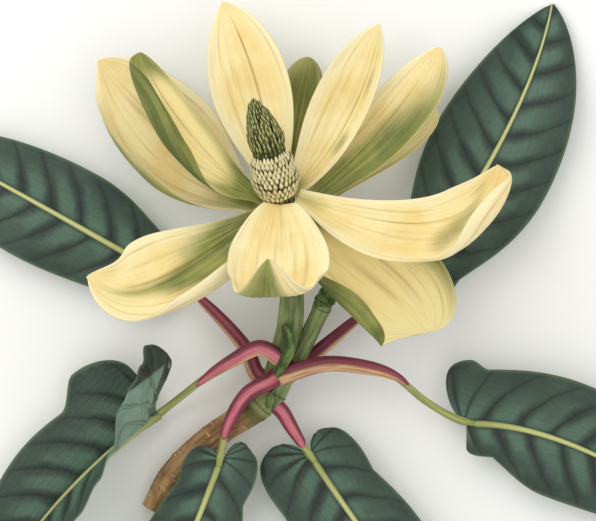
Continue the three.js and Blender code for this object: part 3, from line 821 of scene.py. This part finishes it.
# width, lobe, widest and ear are for the left and right halves, and lobe is the ear's half width.
# waist is (place, part of the lobe). ear is how far it reaches back, and earPeak where across.
leaves = {
    "leaf_upper_left": dict(
        line=[(-66, -7.5, 9), (-110, 17, 16), (-155, 43, 10), (-193.5, 62.5, 0.8)],
        width=(28.5, 27.5), lobe=(24, 17.5), widest=(0.48, 0.35), ear=(9, 3), wave=1.2,
        waist=[(0.16, 0.94), (0.08, 1.0)],
    ),
    "leaf_upper_right": dict(
        line=[(58.5, -7, 8), (82, 24, 14), (118, 79, 12), (127, 128, 0.8)], width=(33, 33),
        lobe=(21, 19.5), widest=(0.48, 0.44), ear=(8, 4), wave=1.2,
        waist=[(0.16, 0.94), (0.1, 1.0)],
    ),
    "leaf_left": dict(
        line=[(-69.5, -76.5, 12), (-95, -95.5, 17), (-125, -118, 14), (-161, -178, 0.8)],
        width=(31, 32), lobe=(39, 42), waist=[(0.16, 0.8), (0.35, 0.73)], widest=(0.47, 0.5),
        ear=(20.5, 2.5), earPeak=(0.88, 0.88), rollPower=1, bend=[[0, 158, 6, 0, 0],
        [0.035, 152, 6, 0, -5], [0.07, 130, 6, 0, -10], [0.1, 121, 6, 0, -10],
        [0.14, 117, 6, 0, -10], [0.28, 90, 6, 0, -20], [0.4, 77, 6, 0, -20], [0.55, 67, 6, 0, -20],
        [1, 40, 8, 0, -20]], turned=(17.5, -6),
    ),
    "leaf_right": dict(
        line=[(84, -81.5, 10), (125, -80, 18), (170, -105, 12), (218, -140, 0.8)], width=(31, 29),
        lobe=(32, 16.3), widest=(0.36, 0.38), ear=(9, 0), earPeak=(0.9, 0.9), wave=1.4, earRound=1,
        earStart=0.75, waist=[(0.1, 0.86), (0.12, 1.0)],
    ),
    "leaf_bottom_left": dict(
        line=[(-38.5, -99.5, 19), (-50, -130, 22), (-70, -180, 12), (-92, -228, 0.8)],
        width=(28, 24), lobe=(20, 17.5), widest=(0.48, 0.5), ear=(12, 4), earPeak=(0.6, 0.75),
        earRound=1,
    ),
    "leaf_bottom_middle": dict(
        line=[(6.5, -97.5, 11), (26, -128, 20), (60, -172, 12), (88, -214, 0.8)], width=(27, 31),
        lobe=(23.3, 28.5), widest=(0.44, 0.45), ear=(8.5, 13.5), earPeak=(0.7, 0.82), earRound=1,
        waist=[(0.2, 0.96), (0.16, 0.98)],
    ),
}


def leafHalf(shape, u, side):
    # Half width: a quarter round ear, an eased waist, a sine up to the widest place, then
    # full (1 - t²)⁰·⁸
    full, lobe, widest = shape["width"][side], shape["lobe"][side], shape["widest"][side]
    place, part = shape["waist"][side] if "waist" in shape else (0.16, 0.94)
    waist, rounded = part * lobe, 0.6 * place
    start = shape.get("earStart", 0.58)
    ear = lobe * mix(start, 1, np.clip(1 - (1 - u / rounded) ** 2, 0, 1) ** 0.5)
    eased = lobe + (waist - lobe) * smooth((u - rounded) / (place - rounded))
    rising = np.sin(np.clip((u - place) / (widest - place), 0, 1) * np.pi / 2)
    grown = waist + (full - waist) * rising
    t = np.clip((u - widest) / (1 - widest), 0, 1)
    ended = np.maximum(0.6, full * (1 - t * t) ** 0.8)
    return np.select([u < rounded, u < place, u < widest], [ear, eased, grown], ended)


def paintLeaf():
    finish = Finish(
        "leaf skin", Specular_IOR_Level=0.35, Subsurface_Weight=0.04, Subsurface_Scale=0.002
    )
    along, across, edge = finish.place()
    side, part, vein = finish.attributes("side", "part", "vein")
    spot, away = (along, across), abs(across)
    wander = finish.noise(spot, (0.09, 0.09)) - 0.5
    cloud = finish.noise(spot, (0.035, 0.035), 5.0, 0.6)
    fleck = finish.noise(spot, (0.9, 0.9))
    mesh = finish.cells(spot, (0.6, 0.6))
    distance = (vein + wander * 0.2).folded() * veinValues["spacing"]
    ladder = (away * 0.3 + wander * 2.4 + along * 0.05).folded()
    cloudy, older = cloud.step(0.3, 0.7), part.step(0.0, 0.3)
    # Painted light: lighter panels between the veins, more towards the midrib, darker towards the
    # margins
    inward = (edge + (cloud - 0.5) * 1.4).step(0.85, 0.2)
    panel = (distance + (cloud - 0.5) * 6.0).step(1.5, 6.0) * inward
    net = ladder.step(0.1, 0.02) * 0.22 + mesh.step(0.08, 0.0) * 0.12
    ribHalf = (leafValues["rib"] - part * 1.2) * (0.35 + part.step(0.0, 0.05) * 0.65)
    rib = (away - ribHalf).step(0.25, -0.25)
    # ribFlank is painted shade on the sides of the rounded midrib
    ribFlank = (away / ribHalf).step(0.2, 1.0) * 0.6
    ribTone = finish.layers((164, 168, 98), (older, (206, 206, 138)), (ribFlank, (138, 148, 84)))
    upper = finish.layers(
        (40, 53, 45),
        (cloudy, (62, 83, 70)),
        # painted light on the panels between the veins
        (panel * 0.75, (92, 122, 102)),
        # painted shade beside the sunken veins
        (distance.step(3.0, 0.6) * 0.35, (34, 46, 42)),
        (net, (36, 50, 44)),
        # painted shade: dark lines in the sunken veins, fading towards the margin
        ((distance + edge * 0.9).step(1.9, 0.5) * 0.6, (26, 33, 31)),
        (edge.step(0.93, 1.0) * 0.5, (104, 130, 96)),
        # painted shade in the trough along the midrib
        ((away - ribHalf).step(2.2, 0.0) * 0.6, (32, 44, 38)),
        (rib, ribTone),
    )
    under = finish.layers(
        (112, 144, 128),
        (cloudy, (146, 172, 156)),
        (net * 1.5, (92, 122, 104)),
        # painted shade beside the raised veins of the under face
        (distance.step(2.0, 0.9) * 0.6, (64, 92, 80)),
        (distance.step(0.8, 0.3) * 0.5, (150, 172, 142)),
        (rib, finish.blend(older, (158, 164, 98), (190, 194, 132))),
    )
    height = ladder.step(0.0, 0.2) * 0.5 + mesh.step(0.0, 0.15) * 0.3 + fleck * 0.25
    rough = 0.56 - side * 0.14 + cloud * 0.1
    return finish.painted(finish.blend(side, under, upper), rough, (height, 0.35, 0.0005))


def veinGrid(shape, blade, values):
    # The vein that passes a point left the midrib at along - w (lean + curve w / width); divided
    # by the spacing, veins lie where that is whole. Behind the leaf's foot they fan out instead.
    w = abs(blade["across"])
    width = np.where(blade["v"] < 0, *shape["width"])
    reach = w * (values["lean"] + values["curve"] * w / width)
    left = blade["along"] - reach + 1.8 * waves(2.2 * blade["u"], np.sign(blade["v"]), 91)
    fan = values["fan"] * np.minimum(left, 0) / (reach + 1.2 * w + 1)
    half = np.where(blade["v"] < 0, 0.5, 0.0) * smooth(w / 2)
    return np.maximum(left, 0) / values["spacing"] + fan + half


def ribRidge(w, u, width):
    # A half round ridge √(1 - (w / width)²) that gets lower along the leaf
    return (1 - 0.75 * u) * np.clip(1 - (w / width) ** 2, 0, 1) ** 0.5


def addLeaf(name, shape, seed, material):
    values = leafValues
    shape = {"bend": [[0, 10, 10, values["droop"], values["droop"]]], **shape}
    blade = bladeGrid(shape, leafHalf, values["rows"], values["columns"])
    u, v, w = blade["u"], blade["v"], abs(blade["across"])
    vein = veinGrid(shape, blade, veinValues)
    distance = abs(vein - np.round(vein)) * veinValues["spacing"]
    inside = smooth((w - 1) / 4) * smooth((1 - abs(v)) / 0.3)
    quilt = values["groove"] * (0.5 - hill(distance, 1.9)) * inside
    ripple = values["ripple"] * waves(u * 3, v * 0.8, seed, 6) * v**2 * smooth(u / 0.1)
    high, low = values["ribHeight"]
    sunk, raised = values["veinDepth"]
    lift = quilt + ripple - values["trough"] * hill(w, 3.0) * (1 - 0.6 * u)
    lift = lift - sunk * hill(distance, 0.7) * inside
    if "turned" in shape:  # the curled ear is smooth
        lift = lift * (1 - 0.85 * smooth((-v - 0.15) / 0.2) * smooth((0.24 - u) / 0.1))
    body = np.clip(1 - abs(v) ** 6, 0, 1) ** 0.5
    half = mix(values["edge"], values["thickness"], body) / 2
    ribWidth = (values["rib"] - 1.2 * u) * (0.35 + 0.65 * smooth(u / 0.05))
    upper = half + high * ribRidge(w, u, ribWidth)
    under = half + low * ribRidge(w, u, ribWidth + 0.3) + raised * hill(distance, 0.8) * inside
    mesh = bladeShell(blade, lift, upper, under, lowest=0.0, vein=vein)
    if "turned" in shape:  # the curled ear shows the colour of the upper face
        aside, back = shape["turned"]
        first = unit(np.subtract(shape["line"][1][:2], shape["line"][0][:2]))
        offset = blade["grid"][..., :2] - shape["line"][0][:2]
        away = abs(offset @ (-first[1], first[0])) - aside
        curled = smooth(away / 0.8) * smooth((-(offset @ first) - back) / 1.0)
        mesh[2]["side"][u.size:] = curled.ravel()
    addPiece(name, mesh, material, flatRim=True)


leafSkin = paintLeaf()
for number, (name, shape) in enumerate(leaves.items()):
    addLeaf(name, shape, 60 + number, leafSkin)
print("leaves made:", len(leaves))

# Stems


def tubeGrid(path, radii, t, angle):
    # Rings round a path: centre(t) + (up cos a + side sin a) r(t, a), where angle 0 is on top
    # and 90 degrees is on the right when looking along the path
    t = t + 0 * angle
    angle = angle + 0 * t
    centre = spline(path, t)
    along = unit(spline(path, np.clip(t + 1e-3, 0, 1)) - spline(path, np.clip(t - 1e-3, 0, 1)))
    side = unit(np.cross(along, [0, 0, 1.0]))
    up = np.cross(side, along)
    radii = np.array(radii, float)
    spot = t * (len(radii) - 1)
    i = np.minimum(spot.astype(int), len(radii) - 2)
    radius = mix(radii[i], radii[i + 1], smooth(spot - i))
    stations = np.linspace(0, 1, 200)
    length = runningLength(spline(path, stations))
    out = up * np.cos(angle)[..., None] + side * np.sin(angle)[..., None]
    return {
        "centre": centre, "along": along, "out": out, "radius": radius, "t": t, "angle": angle,
        "reach": np.interp(t, stations, length),
    }


def tubeMesh(tube, radius, **values):
    # Rings of the given radius, closed at both ends
    rings = tube["centre"] + tube["out"] * radius[..., None]
    rings[..., 2] = np.maximum(rings[..., 2], 0)
    points, faces = closedRings(rings)
    angle, size = tube["angle"], tube["radius"]
    place = np.stack([np.cos(angle) * size, np.sin(angle) * size, tube["reach"]], axis=-1)
    made = {"place": withHubs(place)}
    made.update({key: withHubs(value) for key, value in values.items()})
    return points, faces, made


# radii are spread evenly along a path, and scars are places along it. cap is how many rings close
# the cut end of the wood, and nodes are the distances from it at which the wood swells.
woodValues = {
    "path": [(-73, -124.3, 5.5), (-63, -107.4, 6.6), (-51, -95, 8.2), (-37, -84, 11),
    (-20.8, -73.8, 15.6)], "radii": (5.6, 6.3, 6.6, 6.7, 6.8), "rows": 150, "sides": 72,
    "ridge": 0.22, "cap": 7, "lenticels": 46, "nodes": [(28, 0.35), (47, 0.3)],
}
greenStems = {
    "flower_stalk": dict(
        path=[(-22.6, -75.6, 15.1), (-12, -63, 17.5), (-7, -48, 20), (-3.8, -31, 26), (-3, -12, 34),
        bloomCentre - 12 * bloomAxis, bloomCentre - 0.5 * bloomAxis],
        radii=(6.8, 7.5, 7.3, 6.3, 5.7, 5.7, 7.4), rows=170, sides=64, scars=(0.06, 0.155), old=1.0,
        seed=31,
    ),
    "side_shoot": dict(
        path=[(-7, -58, 20), (1, -46, 23), (9, -30, 26), (13, -21, 30)], radii=(4.2, 4.2, 4.2),
        rows=70, sides=48, scars=(0.93,), old=0.0, seed=33,
    ),
}


def paintBark():
    finish = Finish("bark", Specular_IOR_Level=0.2)
    place = finish.place()
    x, y = place[:2]
    spot, cut, young = finish.attributes("spot", "cut", "young")
    streak, cloud, grain = finish.noises(
        place, (0.9, 0.07, 5.0, 0.65), (0.12, 0.08, 4.0, 0.5), (2.2, 0.5, 4.0, 0.7)
    )
    outward = x.maths("SQRT", x * x + y * y)
    endWood = finish.layers(
        (150, 116, 72),
        ((outward * 0.75).folded().step(0.1, 0.3), (206, 180, 132)),
        (outward.step(1.0, 0.7), (224, 206, 166)),
    )
    colour = finish.layers(
        (142, 106, 70),
        (cloud.step(0.35, 0.65), (192, 156, 110)),
        (streak.step(0.45, 0.65) * 0.75, (98, 66, 42)),
        (grain.step(0.55, 0.75) * 0.4, (192, 150, 104)),
        (young, finish.blend(streak, (92, 100, 58), (122, 112, 66))),
        (spot, (206, 176, 132)),
        (cut.step(0.5, 0.9), endWood),
    )
    return finish.painted(colour, 0.66 + grain * 0.2, (streak * 0.7 + grain * 0.3, 0.5, 0.0008))


def addWood(values):
    # The bark's ridges are waves along and round the stem, and each lenticel is a low mound
    cap, rows, count = values["cap"], values["rows"], values["lenticels"]
    t = np.concatenate([np.zeros(cap), np.linspace(0, 1, rows)])[:, None]
    shrink = np.concatenate([np.linspace(0.12, 1, cap + 1)[:-1], np.ones(rows)])[:, None]
    tube = tubeGrid(values["path"], values["radii"], t, ringAngles(values["sides"]))
    angle, reach = tube["angle"], tube["reach"]
    ridges = waves(np.cos(angle) * 2.2 + 0.06 * reach, np.sin(angle) * 2.2, 21, 9)
    fine = waves(np.cos(angle) * 5 + 0.12 * reach, np.sin(angle) * 5, 22, 9)
    rng = np.random.default_rng(23)
    spot = 0 * reach
    places = [rng.uniform(low, high, count) for low, high in ((0, 6.28), (4, 66), (0.6, 1.0))]
    for turn, along, size in zip(*places):
        away = turnFrom(angle, np.degrees(turn)) * tube["radius"] / (1.5 * size)
        spot = np.maximum(spot, np.exp(-(away**4) - ((reach - along) / (0.5 * size)) ** 4))
    relief = (2.2 * ridges + 1.2 * fine) * values["ridge"] + 0.3 * spot
    relief = relief + sum(height * hill(reach - along, 1.2) for along, height in values["nodes"])
    cut = np.concatenate([np.ones(cap + 1), np.zeros(rows - 1)])[:, None] + 0 * angle
    young = smooth((tube["t"] - 0.9 - 0.02 * ridges) / 0.06)
    radius = (tube["radius"] + relief) * shrink
    mesh = tubeMesh(tube, radius, spot=spot * (1 - cut), cut=cut, young=young)
    mesh[2]["place"][:-2, :2] *= np.repeat(shrink.ravel(), values["sides"])[:, None]
    addPiece("woody_stem", mesh, paintBark())


def paintGreenStem():
    finish = Finish("green stem", Specular_IOR_Level=0.3)
    place = finish.place()
    stripe, cloud, fine = finish.noises(
        place, (0.75, 0.03, 4.0, 0.6), (0.15, 0.06, 4.0, 0.5), (2.0, 0.4, 4.0, 0.6)
    )
    colour = finish.layers(
        (108, 122, 74),
        (cloud.step(0.35, 0.65), (154, 164, 106)),
        (stripe.step(0.5, 0.66) * 0.6, (62, 76, 46)),
        (stripe.step(0.46, 0.32) * 0.6, (168, 182, 112)),
        (fine.step(0.6, 0.75) * 0.3, (160, 164, 110)),
        (finish.attribute("old"), (104, 92, 54)),
        (finish.attribute("scar") * 0.8, (54, 52, 36)),
    )
    return finish.painted(colour, 0.5 + fine * 0.15, (stripe * 0.7 + fine * 0.3, 0.4, 0.0007))


def addStem(name, values, material):
    # Shallow ribs along the stem, and at each scar a thin raised line over a swelling
    t = np.linspace(0, 1, values["rows"])[:, None]
    tube = tubeGrid(values["path"], values["radii"], t, ringAngles(values["sides"]))
    angle, reach = tube["angle"], tube["reach"]
    wander = 0.6 * waves(reach * 0.02, 0, values["seed"])
    relief = 0.16 * np.sin(11 * angle + wander) + 0.1 * np.sin(23 * angle + 1)
    scar = 0 * reach
    for place in values["scars"]:
        offset = (tube["t"] - place) * reach.max() + 0.8 * np.cos(angle - 1)
        scar = np.maximum(scar, hill(offset, 0.5))
        relief = relief + 0.45 * hill(offset + 1.5, 3.5)
    old = values["old"] * (1 - smooth((tube["t"] - 0.01) / 0.035))
    mesh = tubeMesh(tube, tube["radius"] + relief + 0.3 * scar, scar=scar, old=old)
    addPiece(name, mesh, material)


addWood(woodValues)
stemSkin = paintGreenStem()
for name, values in greenStems.items():
    addStem(name, values, stemSkin)
print("stems made")

# Leaf stalks: a crimson stipule sheath holds the lower part, and the bare stalk runs on from it

# root lies inside the stem, and bare goes on from the sheath's end. channel is the angle of the
# pink hollow and its strength, and lip is the same for the tan edge: 0 degrees is on top, 90 on
# the right when looking along the stalk. profile is how thick the sheath is at places along it.
sheathValues = {
    "radius": 3.7, "rows": 90, "sides": 48, "channel": 0.75, "ridge": 0.35, "end": 0.93,
    "lip": 0.11, "profile": ([0, 0.2, 0.4, 0.75, 1], [1.55, 1.25, 1.1, 0.96, 0.68]),
}
petioleValues = {"radius": 1.8, "rows": 60, "sides": 32}
leafStalks = {
    "upper_left": dict(
        sheath=[(-20, -57, 17), (-26, -44, 17), (-48, -20, 13)],
        bare=[(-57, -13, 11), (-65, -8, 9)], root=(-11, -61, 17.5),
        channel=(15, 0.5), lip=(-65, 1.0),
    ),
    "upper_right": dict(
        sheath=[(-2, -55, 16), (8, -47, 14), (31, -28, 12)],
        bare=[(44, -18, 10), (57.5, -8, 8)], root=(-10, -61, 17),
        channel=(-10, 0.35), lip=(60, 0.9),
    ),
    "left": dict(
        sheath=[(-9, -48.5, 27), (-19, -43.3, 32), (-32, -49.3, 28), (-44.6, -57.2, 22.6)],
        bare=[(-60, -69.2, 15), (-68.2, -75.6, 11)], root=(-6, -51, 20),
        channel=(-15, 1.0), lip=(-75, 0.8),
    ),
    "right": dict(
        sheath=[(-5, -56.3, 26), (14, -51.3, 31), (35, -53.4, 28), (48.5, -57.9, 22.5)],
        bare=[(63, -69.6, 15.5), (79, -78.9, 10.5)], root=(-10, -58, 20),
        channel=(-20, 0.4), lip=(40, 1.1),
    ),
    "bottom_left": dict(
        sheath=[(-14, -60, 26), (-24.8, -66, 28), (-32, -76, 26), (-36.3, -86, 23)],
        bare=[(-37.5, -92, 21), (-38.6, -97, 19)], root=(-10, -57, 20),
        channel=(0, 0.8), lip=(80, 0.2),
    ),
    "bottom_middle": dict(
        sheath=[(-17, -69, 16), (-9, -74, 17), (-3.4, -82.8, 15), (1.8, -91.2, 12.7)],
        bare=[(3.7, -94, 12), (5.5, -96.4, 11)], root=(-20, -66, 16.5),
        channel=(0, 1.0), lip=(90, 0.1),
    ),
}


def paintSheath():
    finish = Finish("sheath", Specular_IOR_Level=0.35)
    place = finish.place()
    streak, fine = finish.noises(place, (1.1, 0.05, 4.0, 0.6), (2.6, 0.3, 4.0, 0.6))
    rosy = finish.blend((streak + fine * 0.3).step(0.5, 0.8), (220, 132, 140), (186, 92, 108))
    tan = finish.blend(streak.step(0.4, 0.65), (224, 184, 138), (176, 118, 92))
    colour = finish.layers(
        (94, 38, 52),
        (streak.step(0.35, 0.65), (148, 66, 86)),
        (finish.attribute("pink").step(0.2, 0.8), rosy),
        (finish.attribute("lip").step(0.25, 0.75), tan),
        (fine.step(0.6, 0.75) * 0.35, (88, 44, 48)),
    )
    return finish.painted(colour, 0.46 + fine * 0.15, (streak * 0.6 + fine * 0.4, 0.4, 0.0005))


def paintPetiole():
    finish = Finish("leaf stalk", Specular_IOR_Level=0.3)
    place = finish.place()
    streak, fine = finish.noises(place, (1.2, 0.05, 4.0, 0.6), (3.0, 0.4, 3.0, 0.6))
    top = finish.blend(streak.step(0.35, 0.65), (128, 138, 74), (178, 184, 112))
    low = finish.blend(streak.step(0.4, 0.65), (150, 112, 84), (112, 96, 58))
    colour = finish.blend(place[0].step(-0.3, -1.3), top, low)
    return finish.painted(colour, 0.5 + fine * 0.1, (streak + fine * 0.5, 0.35, 0.0005))


def addSheath(name, stalk, material):
    # The path runs through the sheath and the bare stalk. The rows end further on round the
    # channel, as a pointed lip: t = s (end + lip ((1 + cos offset) / 2)ⁿ). The last three go
    # back inwards, under the stalk's skin.
    values = sheathValues
    path = [stalk["root"]] + stalk["sheath"] + stalk["bare"]
    share = len(stalk["sheath"]) / (len(path) - 1)
    angle = ringAngles(values["sides"])
    centre, strength = stalk["channel"]
    lipAt, lipStrength = stalk["lip"]
    offset = turnFrom(angle, centre)
    outer = values["rows"]
    s = np.concatenate([np.linspace(0, 1, outer), [1.0, 0.985, 0.96]])[:, None]
    point = (0.5 * (1 + np.cos(offset))) ** 2.5
    t = s * (share * values["end"] + values["lip"] * point)
    tube = tubeGrid(path, (values["radius"],) * 2, t, angle)
    s = s + 0 * angle
    ends = smooth(s / 0.15) * smooth((1.02 - s) / 0.15)
    relief = values["ridge"] * (hill(offset - 0.85, 0.22) + hill(offset + 0.85, 0.22))
    relief = relief - values["channel"] * hill(offset, 0.55) + 0.07 * np.sin(17 * angle)
    outside = values["radius"] * np.interp(s, *values["profile"]) + relief * ends
    outside[outer:] = np.array([[1.0], [0.72], [0.5]]) * petioleValues["radius"] * 0.9
    lip = lipStrength * hill(turnFrom(angle, lipAt), 0.75) * smooth(s / 0.2)
    pink = strength * hill(offset, 0.6) * smooth((1.1 - s) / 0.2)
    addPiece("sheath_" + name, tubeMesh(tube, outside, pink=pink, lip=lip), material)


def addPetiole(name, stalk, material):
    # It starts inside the sheath, swells at the leaf's foot and has a groove along its top
    values = petioleValues
    radius = values["radius"]
    foot, _ = bezier(leaves["leaf_" + name]["line"], np.array([0.03]))
    path = stalk["sheath"][-2:] + stalk["bare"] + [tuple(foot[0])]
    t = np.linspace(0.12, 1, values["rows"])[:, None]
    angle = ringAngles(values["sides"])
    tube = tubeGrid(path, (radius, radius, radius * 0.95), t, angle)
    swell = 0.3 * smooth((tube["t"] - 0.6) / 0.15) - 0.5 * smooth((tube["t"] - 0.8) / 0.2)
    relief = swell - 0.35 * hill(turnFrom(angle, 0), 0.35) + 0.06 * np.sin(9 * angle)
    mesh = tubeMesh(tube, tube["radius"] + relief)
    addPiece("leaf_stalk_" + name, mesh, material)


sheathSkin = paintSheath()
petioleSkin = paintPetiole()
for name, stalk in leafStalks.items():
    addSheath(name, stalk, sheathSkin)
    addPetiole(name, stalk, petioleSkin)
print("leaf stalks made:", len(leafStalks))

# Buds and the stipule scale

budValues = {"rows": 56, "sides": 48, "step": 0.45, "hairs": 0.4}
buds = {
    "side_bud": dict(
        path=[(12.9, -21.5, 29.8), (13.5, -18.5, 31.3), (15.3, -11, 34.5)],
        radii=(4.3, 5.1, 3.4, 0.5), turns=1.5,
    ),
    "axillary_bud": dict(
        path=[(-13.6, -72.8, 23.6), (-12.6, -68, 25.6), (-11.9, -64, 27.2)],
        radii=(2.2, 2.6, 1.9, 0.35), turns=1.2,
    ),
}
scaleValues = {
    "line": [(-13, -60, 25), (-7, -51, 36), (1, -40, 36), (-7.3, -31.5, 35)],
    "width": (6, 3), "widest": (0.6, 0.5), "footWidth": 2.2, "bend": [[0, -30, -20, -20, 0]],
    "rows": 90, "columns": 24, "thickness": 1.0, "edge": 0.4, "hollow": -0.3,
}


def paintScale():
    finish = Finish("bud scale", Specular_IOR_Level=0.25)
    place = finish.place()
    seam, hairy = finish.attributes("seam", "hairy")
    streak, fine = finish.noises(place, (0.8, 0.12, 4.0, 0.6), (2.5, 0.8, 4.0, 0.65))
    colour = finish.layers(
        (70, 92, 50),
        (streak.step(0.38, 0.62), (128, 150, 84)),
        (seam * 0.7, (40, 50, 30)),
        # darker on the hollow left half: its hairs, with painted shade in the hollow
        (hairy * (0.35 + fine * 0.6), (52, 60, 44)),
        (fine.step(0.6, 0.72) * 0.35, (176, 180, 138)),
    )
    return finish.painted(colour, 0.55 + fine * 0.2, (fine, 0.5, 0.0006))


def addBud(name, bud, material):
    # The scale's edge winds round the bud as a step in its radius
    values = budValues
    t = np.linspace(0, 1, values["rows"])[:, None]
    tube = tubeGrid(bud["path"], bud["radii"], t, ringAngles(values["sides"]))
    wound = (tube["angle"] / (2 * np.pi) + bud["turns"] * tube["t"]) % 1
    left = 1 - tube["t"]
    relief = values["step"] * smooth(wound / 0.9) * smooth((1 - wound) / 0.06) * smooth(left / 0.25)
    relief = relief + 0.1 * np.sin(14 * tube["angle"] + 2) * smooth(left / 0.3)
    seam = hill(wound - 0.985, 0.035) * smooth(left / 0.2)
    mesh = tubeMesh(tube, tube["radius"] + relief, seam=seam, hairy=values["hairs"] + 0 * seam)
    addPiece(name, mesh, material)


def addStipuleScale(values, material):
    # A hooded strap, hollow on its left half
    blade = bladeGrid(values, tepalHalf, values["rows"], values["columns"])
    u, v = blade["u"], blade["v"]
    body = np.clip(1 - abs(v) ** 4, 0, 1) ** 0.5
    half = mix(values["edge"], values["thickness"], body) / 2
    inHollow = v - values["hollow"]
    lift = 0.12 * np.sin(2 * np.pi * (3 * v + 0.3 * waves(u, v, 71))) * body
    # hairy darkens the left half: hairs, and painted shade in the hollow
    lift, hairy = lift - 0.5 * hill(inHollow, 0.16), smooth((values["hollow"] - v) / 0.2)
    mesh = bladeShell(blade, lift, half, half, seam=hill(inHollow, 0.12), hairy=hairy)
    mesh[2]["place"] = mesh[2]["place"][:, [1, 2, 0]]
    addPiece("stipule_scale", mesh, material, flatRim=True)


scaleSkin = paintScale()
for name, bud in buds.items():
    addBud(name, bud, scaleSkin)
addStipuleScale(scaleValues, scaleSkin)
print("buds and scale made")
